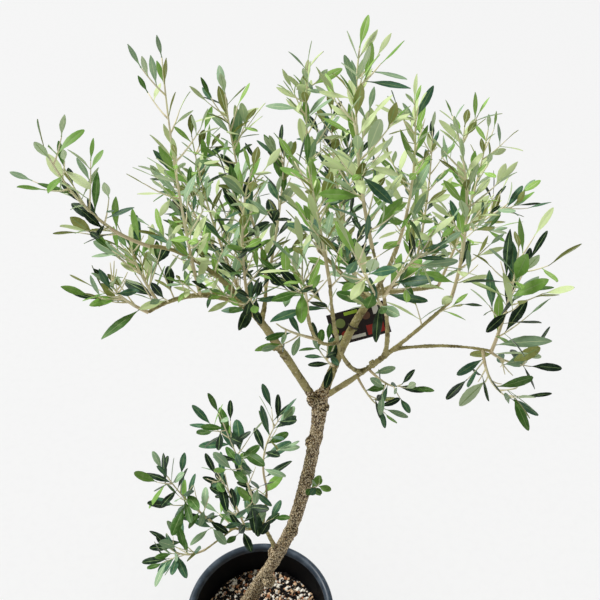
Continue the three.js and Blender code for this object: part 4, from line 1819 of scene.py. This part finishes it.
@dataclass
class Grit:
    """The grit that fills the pot: a rough bed under loose grains of four kinds.

    The bed lies `sunk` below the solid's top and swells by `swell`. The grains are `smallest` to `largest`
    with fewer large ones for more `fineness`, drawn out by `stretch`, and their corners vary by `chip`.
    """

    grains: int = 6500
    smallest: float = 0.9 * MM
    largest: float = 4.0 * MM
    fineness: float = 2.8
    stretch: tuple[float, float] = (0.35, 1.2)
    chip: tuple[float, float] = (0.8, 1.1)
    seat: float = 0.35
    margin: float = 2 * MM
    # The large last share, dark grains, is partly painted shade between the grains.
    shares: tuple[float, ...] = (0.28, 0.20, 0.11, 0.41)
    seed: int = 77
    rows: int = 26
    sides: int = 72
    sunk: float = 2.0 * MM
    swell: float = 2.5 * MM
    swell_scale: float = 60.0
    # The near-black bed is painted shade in the gaps between grains; its dark brown patches are the soil's
    # own.
    bed: PatchedFinish = PatchedFinish(
        "grit_bed_painted_shade",
        0x060302,
        roughness=0.95,
        grain=0.0006,
        broad=200.0,
        fine=900.0,
        second=0x22140E,
        scale=180.0,
    )

    def build(self) -> None:
        """Builds the bed and the grains."""
        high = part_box("soil")[1]
        self.lay_bed(high.x, high.z)
        self.scatter(high.x, high.z)

    def lay_bed(self, radius: float, top: float) -> None:
        """Builds the bed.

        Args:
            radius: The radius of the grit.
            top: The height of the solid's flat top.
        """
        sides = self.sides
        points = [(0.0, 0.0, top)]
        for row in range(1, self.rows + 1):
            for k in range(sides):
                place = self.spot(radius * row / self.rows, 2 * math.pi * k / sides)
                points.append((place.x, place.y, self.level(place, top)))
        faces: list[tuple[int, ...]] = [(0, 1 + k, 1 + (k + 1) % sides) for k in range(sides)]
        for row in range(self.rows - 1):
            for k in range(sides):
                inner, outer = 1 + row * sides, 1 + (row + 1) * sides
                after = (k + 1) % sides
                faces.append((inner + k, outer + k, outer + after, inner + after))
        draft = Draft()
        draft.add(np.array(points), faces)
        settle(draft.piece("grit_bed_painted_shade", [self.bed]), ["soil"])

    def spot(self, ring: float, turn: float) -> Vector:
        """Gives the place at a radius and an angle, at height 0."""
        return Vector((ring * math.cos(turn), ring * math.sin(turn), 0.0))

    def level(self, place: Vector, top: float) -> float:
        """Gives the height of the bed's surface at a place."""
        return top - self.sunk + noise.noise(place * self.swell_scale) * self.swell

    def scatter(self, radius: float, top: float) -> None:
        """Strews the grains over the bed.

        Args:
            radius: The radius of the grit.
            top: The height of the solid's flat top.
        """
        dice = random.Random(self.seed)
        corners, sides = grain_form()
        draft = Draft()
        kinds = list(range(len(Stone)))
        for _ in range(self.grains):
            ring = (radius - self.margin) * math.sqrt(dice.random())
            place = self.spot(ring, dice.uniform(0, 2 * math.pi))
            size = blend(self.smallest, self.largest, dice.random() ** self.fineness)
            stretch = Vector([size * dice.uniform(*self.stretch) for _ in range(3)])
            spin = Quaternion([dice.gauss(0, 1) for _ in range(4)]).normalized().to_matrix()
            place.z = self.level(place, top) + size * self.seat
            points = []
            for corner in corners:
                chipped = [a * b * dice.uniform(*self.chip) for a, b in zip(corner, stretch)]
                points.append(tuple(place + spin @ Vector(chipped)))
            draft.add(np.array(points), sides, dice.choices(kinds, self.shares)[0])
        piece = draft.piece("grit_grains", [kind.value for kind in Stone], smooth=False)
        settle(piece, [])


def grain_form() -> tuple[list[Point], list[tuple[int, int, int]]]:
    """Gives the form that grains and knobs are made from.

    Returns:
        The corners and the sides of a regular body of twenty faces, one unit in radius.
    """
    long = (1 + math.sqrt(5)) / 2
    corners: list[Point] = []
    for a in (-1, 1):
        for b in (-long, long):
            corners += [(0, a, b), (a, b, 0), (b, 0, a)]
    size = math.sqrt(1 + long**2)
    unit = [(x / size, y / size, z / size) for x, y, z in corners]
    edge = 2 / size * 1.01
    sides = []
    for i, first in enumerate(unit):
        for j in range(i + 1, len(unit)):
            for k in range(j + 1, len(unit)):
                trio = [Vector(first), Vector(unit[j]), Vector(unit[k])]
                if all((trio[m] - trio[m - 1]).length < edge for m in range(3)):
                    outward = (trio[1] - trio[0]).cross(trio[2] - trio[0]).dot(trio[0])
                    sides.append((i, j, k) if outward > 0 else (i, k, j))
    return unit, sides


@dataclass
class HangTag:
    """The printed card that hangs behind the centre bough on a ring of wire.

    `patches` and `dots` are the print: each patch's middle, length and depth, and each dot's middle and
    radius, as shares of the card, with the number of its finish. `facing` is where the card looks.
    """

    wood: Wood
    limb: str = "centre_bough"
    at: float = 0.62
    width: float = 60 * MM
    height: float = 34 * MM
    thick: float = 0.8 * MM
    shift: float = -6 * MM
    slope: float = 20.0
    set_back: float = 1.2 * MM
    wire: float = 0.7 * MM
    ink: float = 0.12 * MM
    facing: Point = (0.0, -1.0, 0.8)
    step: float = 0.004
    dot_sides: int = 20
    ring_slack: float = 1.4
    ring_points: int = 48
    ring_rows: int = 40
    ring_sides: int = 8
    patches: tuple[tuple[float, float, float, float, int], ...] = (
        (-0.26, 0.26, 0.3, 0.3, 2),
        (0.06, 0.36, 0.26, 0.1, 6),
        (0.08, -0.4, 0.24, 0.1, 3),
        (-0.34, -0.3, 0.1, 0.26, 6),
    )
    dots: tuple[tuple[float, float, float, int], ...] = (
        (-0.16, -0.2, 0.13, 5),
        (0.1, 0.06, 0.14, 4),
        (0.27, 0.22, 0.12, 2),
        (0.3, -0.16, 0.15, 4),
        (0.42, 0.05, 0.1, 3),
    )
    card: Finish = Finish("tag_card", 0x1E1814, 0.35, 0.00002)
    wire_finish: Finish = Finish("tag_wire", 0x3A332C, 0.5, 0.00002)
    inks: tuple[Finish, ...] = (
        Finish("tag_ink_red", 0xA32A22, 0.35, 0.00002),
        Finish("tag_ink_lime", 0x9FBF3A, 0.35, 0.00002),
        Finish("tag_ink_olive", 0x7C8A4E, 0.35, 0.00002),
        Finish("tag_ink_brown", 0x6E4C38, 0.35, 0.00002),
        Finish("tag_ink_white", 0xE8E4DA, 0.35, 0.00002),
    )

    def limb_radius(self) -> float:
        """Gives the bough's radius where the tag hangs, without its collar."""
        foot, tip = (r * MM for r in LIMBS[self.limb].radii)
        return blend(foot, tip, self.at)

    def place(self) -> tuple[Vector, Vector, Matrix]:
        """Finds the tag's place.

        Returns:
            The ring's centre, the bough's direction there and the card's own frame.
        """
        axis = self.wood.limbs[self.limb].axis
        point = axis.at_step(self.at)
        along = (axis.at_step(self.at + self.step) - axis.at_step(self.at - self.step)).normalized()
        normal = Vector(self.facing)
        normal = (normal - along * normal.dot(along)).normalized()
        level = -UP.cross(normal).normalized()
        long = Quaternion(normal, math.radians(self.slope)) @ level
        short = normal.cross(long)
        depth = self.limb_radius() + self.set_back + self.thick / 2
        matrix = Matrix((long, short, normal)).transposed().to_4x4()
        matrix.translation = point - normal * depth + long * self.shift
        return point, along, matrix

    def build(self) -> bpy.types.Object:
        """Builds the card, its flat patches of ink and its ring.

        Returns:
            The finished piece.
        """
        point, along, matrix = self.place()
        wide, tall = self.width, self.height
        draft = Draft()
        self.slab(draft, matrix, (0, 0), (wide, tall), 0.0, 0)
        for x, y, long, deep, slot in self.patches:
            self.slab(draft, matrix, (x * wide, y * tall), (long * wide, deep * tall), self.ink, slot)
        for x, y, radius, slot in self.dots:
            self.dot(draft, matrix, (x * wide, y * tall), radius * tall, slot)
        self.ring(draft, point, along)
        piece = draft.piece("hang_tag_card", [self.card, self.wire_finish, *self.inks], smooth=False)
        settle(piece, ["hang_tag"])
        return piece

    def slab(
        self,
        draft: Draft,
        matrix: Matrix,
        centre: tuple[float, float],
        size: tuple[float, float],
        proud: float,
        slot: int,
    ) -> None:
        """Adds a flat slab.

        Args:
            draft: The draft that takes it.
            matrix: The card's own frame.
            centre: Its middle on the card.
            size: Its length and depth.
            proud: How far it stands out of both faces of the card.
            slot: The number of its finish.
        """
        x, y = size[0] / 2, size[1] / 2
        z = self.thick / 2 + proud
        signs = [(-1, -1), (1, -1), (1, 1), (-1, 1)]
        corners = [(centre[0] + a * x, centre[1] + b * y, c * z) for c in (-1, 1) for a, b in signs]
        points = np.array([tuple(matrix @ Vector(c)) for c in corners])
        faces = [(3, 2, 1, 0), (4, 5, 6, 7)]
        faces += [(k, (k + 1) % 4, 4 + (k + 1) % 4, 4 + k) for k in range(4)]
        draft.add(points, faces, slot)

    def dot(
        self, draft: Draft, matrix: Matrix, centre: tuple[float, float], radius: float, slot: int
    ) -> None:
        """Adds a round patch of ink on the front, just above the other patches.

        Args:
            draft: The draft that takes it.
            matrix: The card's own frame.
            centre: Its middle on the card.
            radius: Its radius.
            slot: The number of its finish.
        """
        z = self.thick / 2 + self.ink * 2
        points = []
        for k in range(self.dot_sides):
            turn = 2 * math.pi * k / self.dot_sides
            x, y = centre[0] + radius * math.cos(turn), centre[1] + radius * math.sin(turn)
            points.append(tuple(matrix @ Vector((x, y, z))))
        draft.add(np.array(points), [tuple(range(self.dot_sides))], slot)

    def ring(self, draft: Draft, point: Vector, along: Vector) -> None:
        """Adds the ring of wire round the bough.

        Args:
            draft: The draft that takes it.
            point: Its centre.
            along: The bough's direction there.
        """
        radius = self.limb_radius() + self.wire * self.ring_slack
        across = sideways(along, 0.0)
        other = along.cross(across)
        turns = [2 * math.pi * k / self.ring_points for k in range(self.ring_points + 1)]
        loop = Axis.through(
            [point + (across * math.cos(a) + other * math.sin(a)) * radius for a in turns]
        )
        draft.tube(loop, self.ring_sides, self.ring_rows, lambda share: self.wire, lambda share: 1)


@dataclass
class Studio:
    """The plain pale floor, the soft light and the camera."""

    floor_size: float = 14.0
    camera_at: Point = (0.0581, -0.5062, 1.1555)
    pitch: float = 38.085
    lens: float = 40.8
    sensor: float = 36.0
    sky: float = 0.32
    backdrop: float = 0.88
    sun: float = 2.8
    sun_angle: float = 18.0
    sun_tilt: tuple[float, float] = (-14.0, -38.0)
    floor: PatchedFinish = PatchedFinish(
        "studio_floor", 0xF6F6F6, 0.9, 0.0, 3.0, 10.0, second=0xF5F5F5, second_roughness=0.9
    )

    def build(self) -> None:
        """Builds the floor, lights and camera."""
        half = self.floor_size / 2
        draft = Draft()
        corners = [(-half, -half, 0.0), (half, -half, 0.0), (half, half, 0.0), (-half, half, 0.0)]
        draft.add(np.array(corners), [(0, 1, 2, 3)])
        floor = draft.piece("studio_floor", [self.floor], smooth=False)
        floor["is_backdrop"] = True
        self.light()
        self.aim()
        LOG.info("studio: floor, sky, sun and camera")

    def light(self) -> None:
        """Sets the soft sky and one broad sun."""
        scene = bpy.context.scene
        scene.view_settings.view_transform = "Standard"
        world = bpy.data.worlds.new("soft_sky")
        world.use_nodes = True
        sheet = NodeSheet(world.node_tree)
        glow = world.node_tree.nodes["Background"]
        sheet.feed(glow, "Color", (1, 1, 1, 1))
        sheet.feed(glow, "Strength", self.sky)
        seen = sheet.add("Background", Color=(1, 1, 1, 1), Strength=self.backdrop)
        both = sheet.add("MixShader", Fac=sheet.add("LightPath").outputs["Is Camera Ray"])
        sheet.feed(both, 1, glow.outputs["Background"])
        sheet.feed(both, 2, seen.outputs["Background"])
        sheet.feed(world.node_tree.nodes["World Output"], "Surface", both.outputs["Shader"])
        scene.world = world
        sun = bpy.data.lights.new("broad_sun", "SUN")
        sun.energy = self.sun
        sun.angle = math.radians(self.sun_angle)
        lamp = bpy.data.objects.new("broad_sun", sun)
        lamp.rotation_euler = (math.radians(self.sun_tilt[0]), math.radians(self.sun_tilt[1]), 0.0)
        scene.collection.objects.link(lamp)

    def aim(self) -> None:
        """Places the camera at the photograph's viewing angle."""
        lens = bpy.data.cameras.new("view")
        lens.lens = self.lens
        lens.sensor_width = self.sensor
        lens.clip_end = 100.0
        camera = bpy.data.objects.new("view", lens)
        camera.location = self.camera_at
        camera.rotation_euler = (math.radians(90 - self.pitch), 0.0, 0.0)
        bpy.context.scene.collection.objects.link(camera)
        bpy.context.scene.camera = camera


def save_sizes() -> None:
    """Gathers the CAD box and the visual model's box as plain numbers."""
    boxes = {"cad": CAD_BOUNDS, "visual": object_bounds()}
    plain = {name: [[float(v) for v in corner] for corner in box] for name, box in boxes.items()}


def main() -> None:
    """Builds the potted olive tree, piece by piece."""
    logging.basicConfig(level=logging.INFO, format="%(message)s")
    Studio().build()
    Pot().build()
    Grit().build()
    wood = Wood()
    wood.grow()
    wood.build()
    HangTag(wood).build()
    foliage = Foliage(wood)
    foliage.grow()
    foliage.build_all()
    save_sizes()


if __name__ == "__main__":
    main()
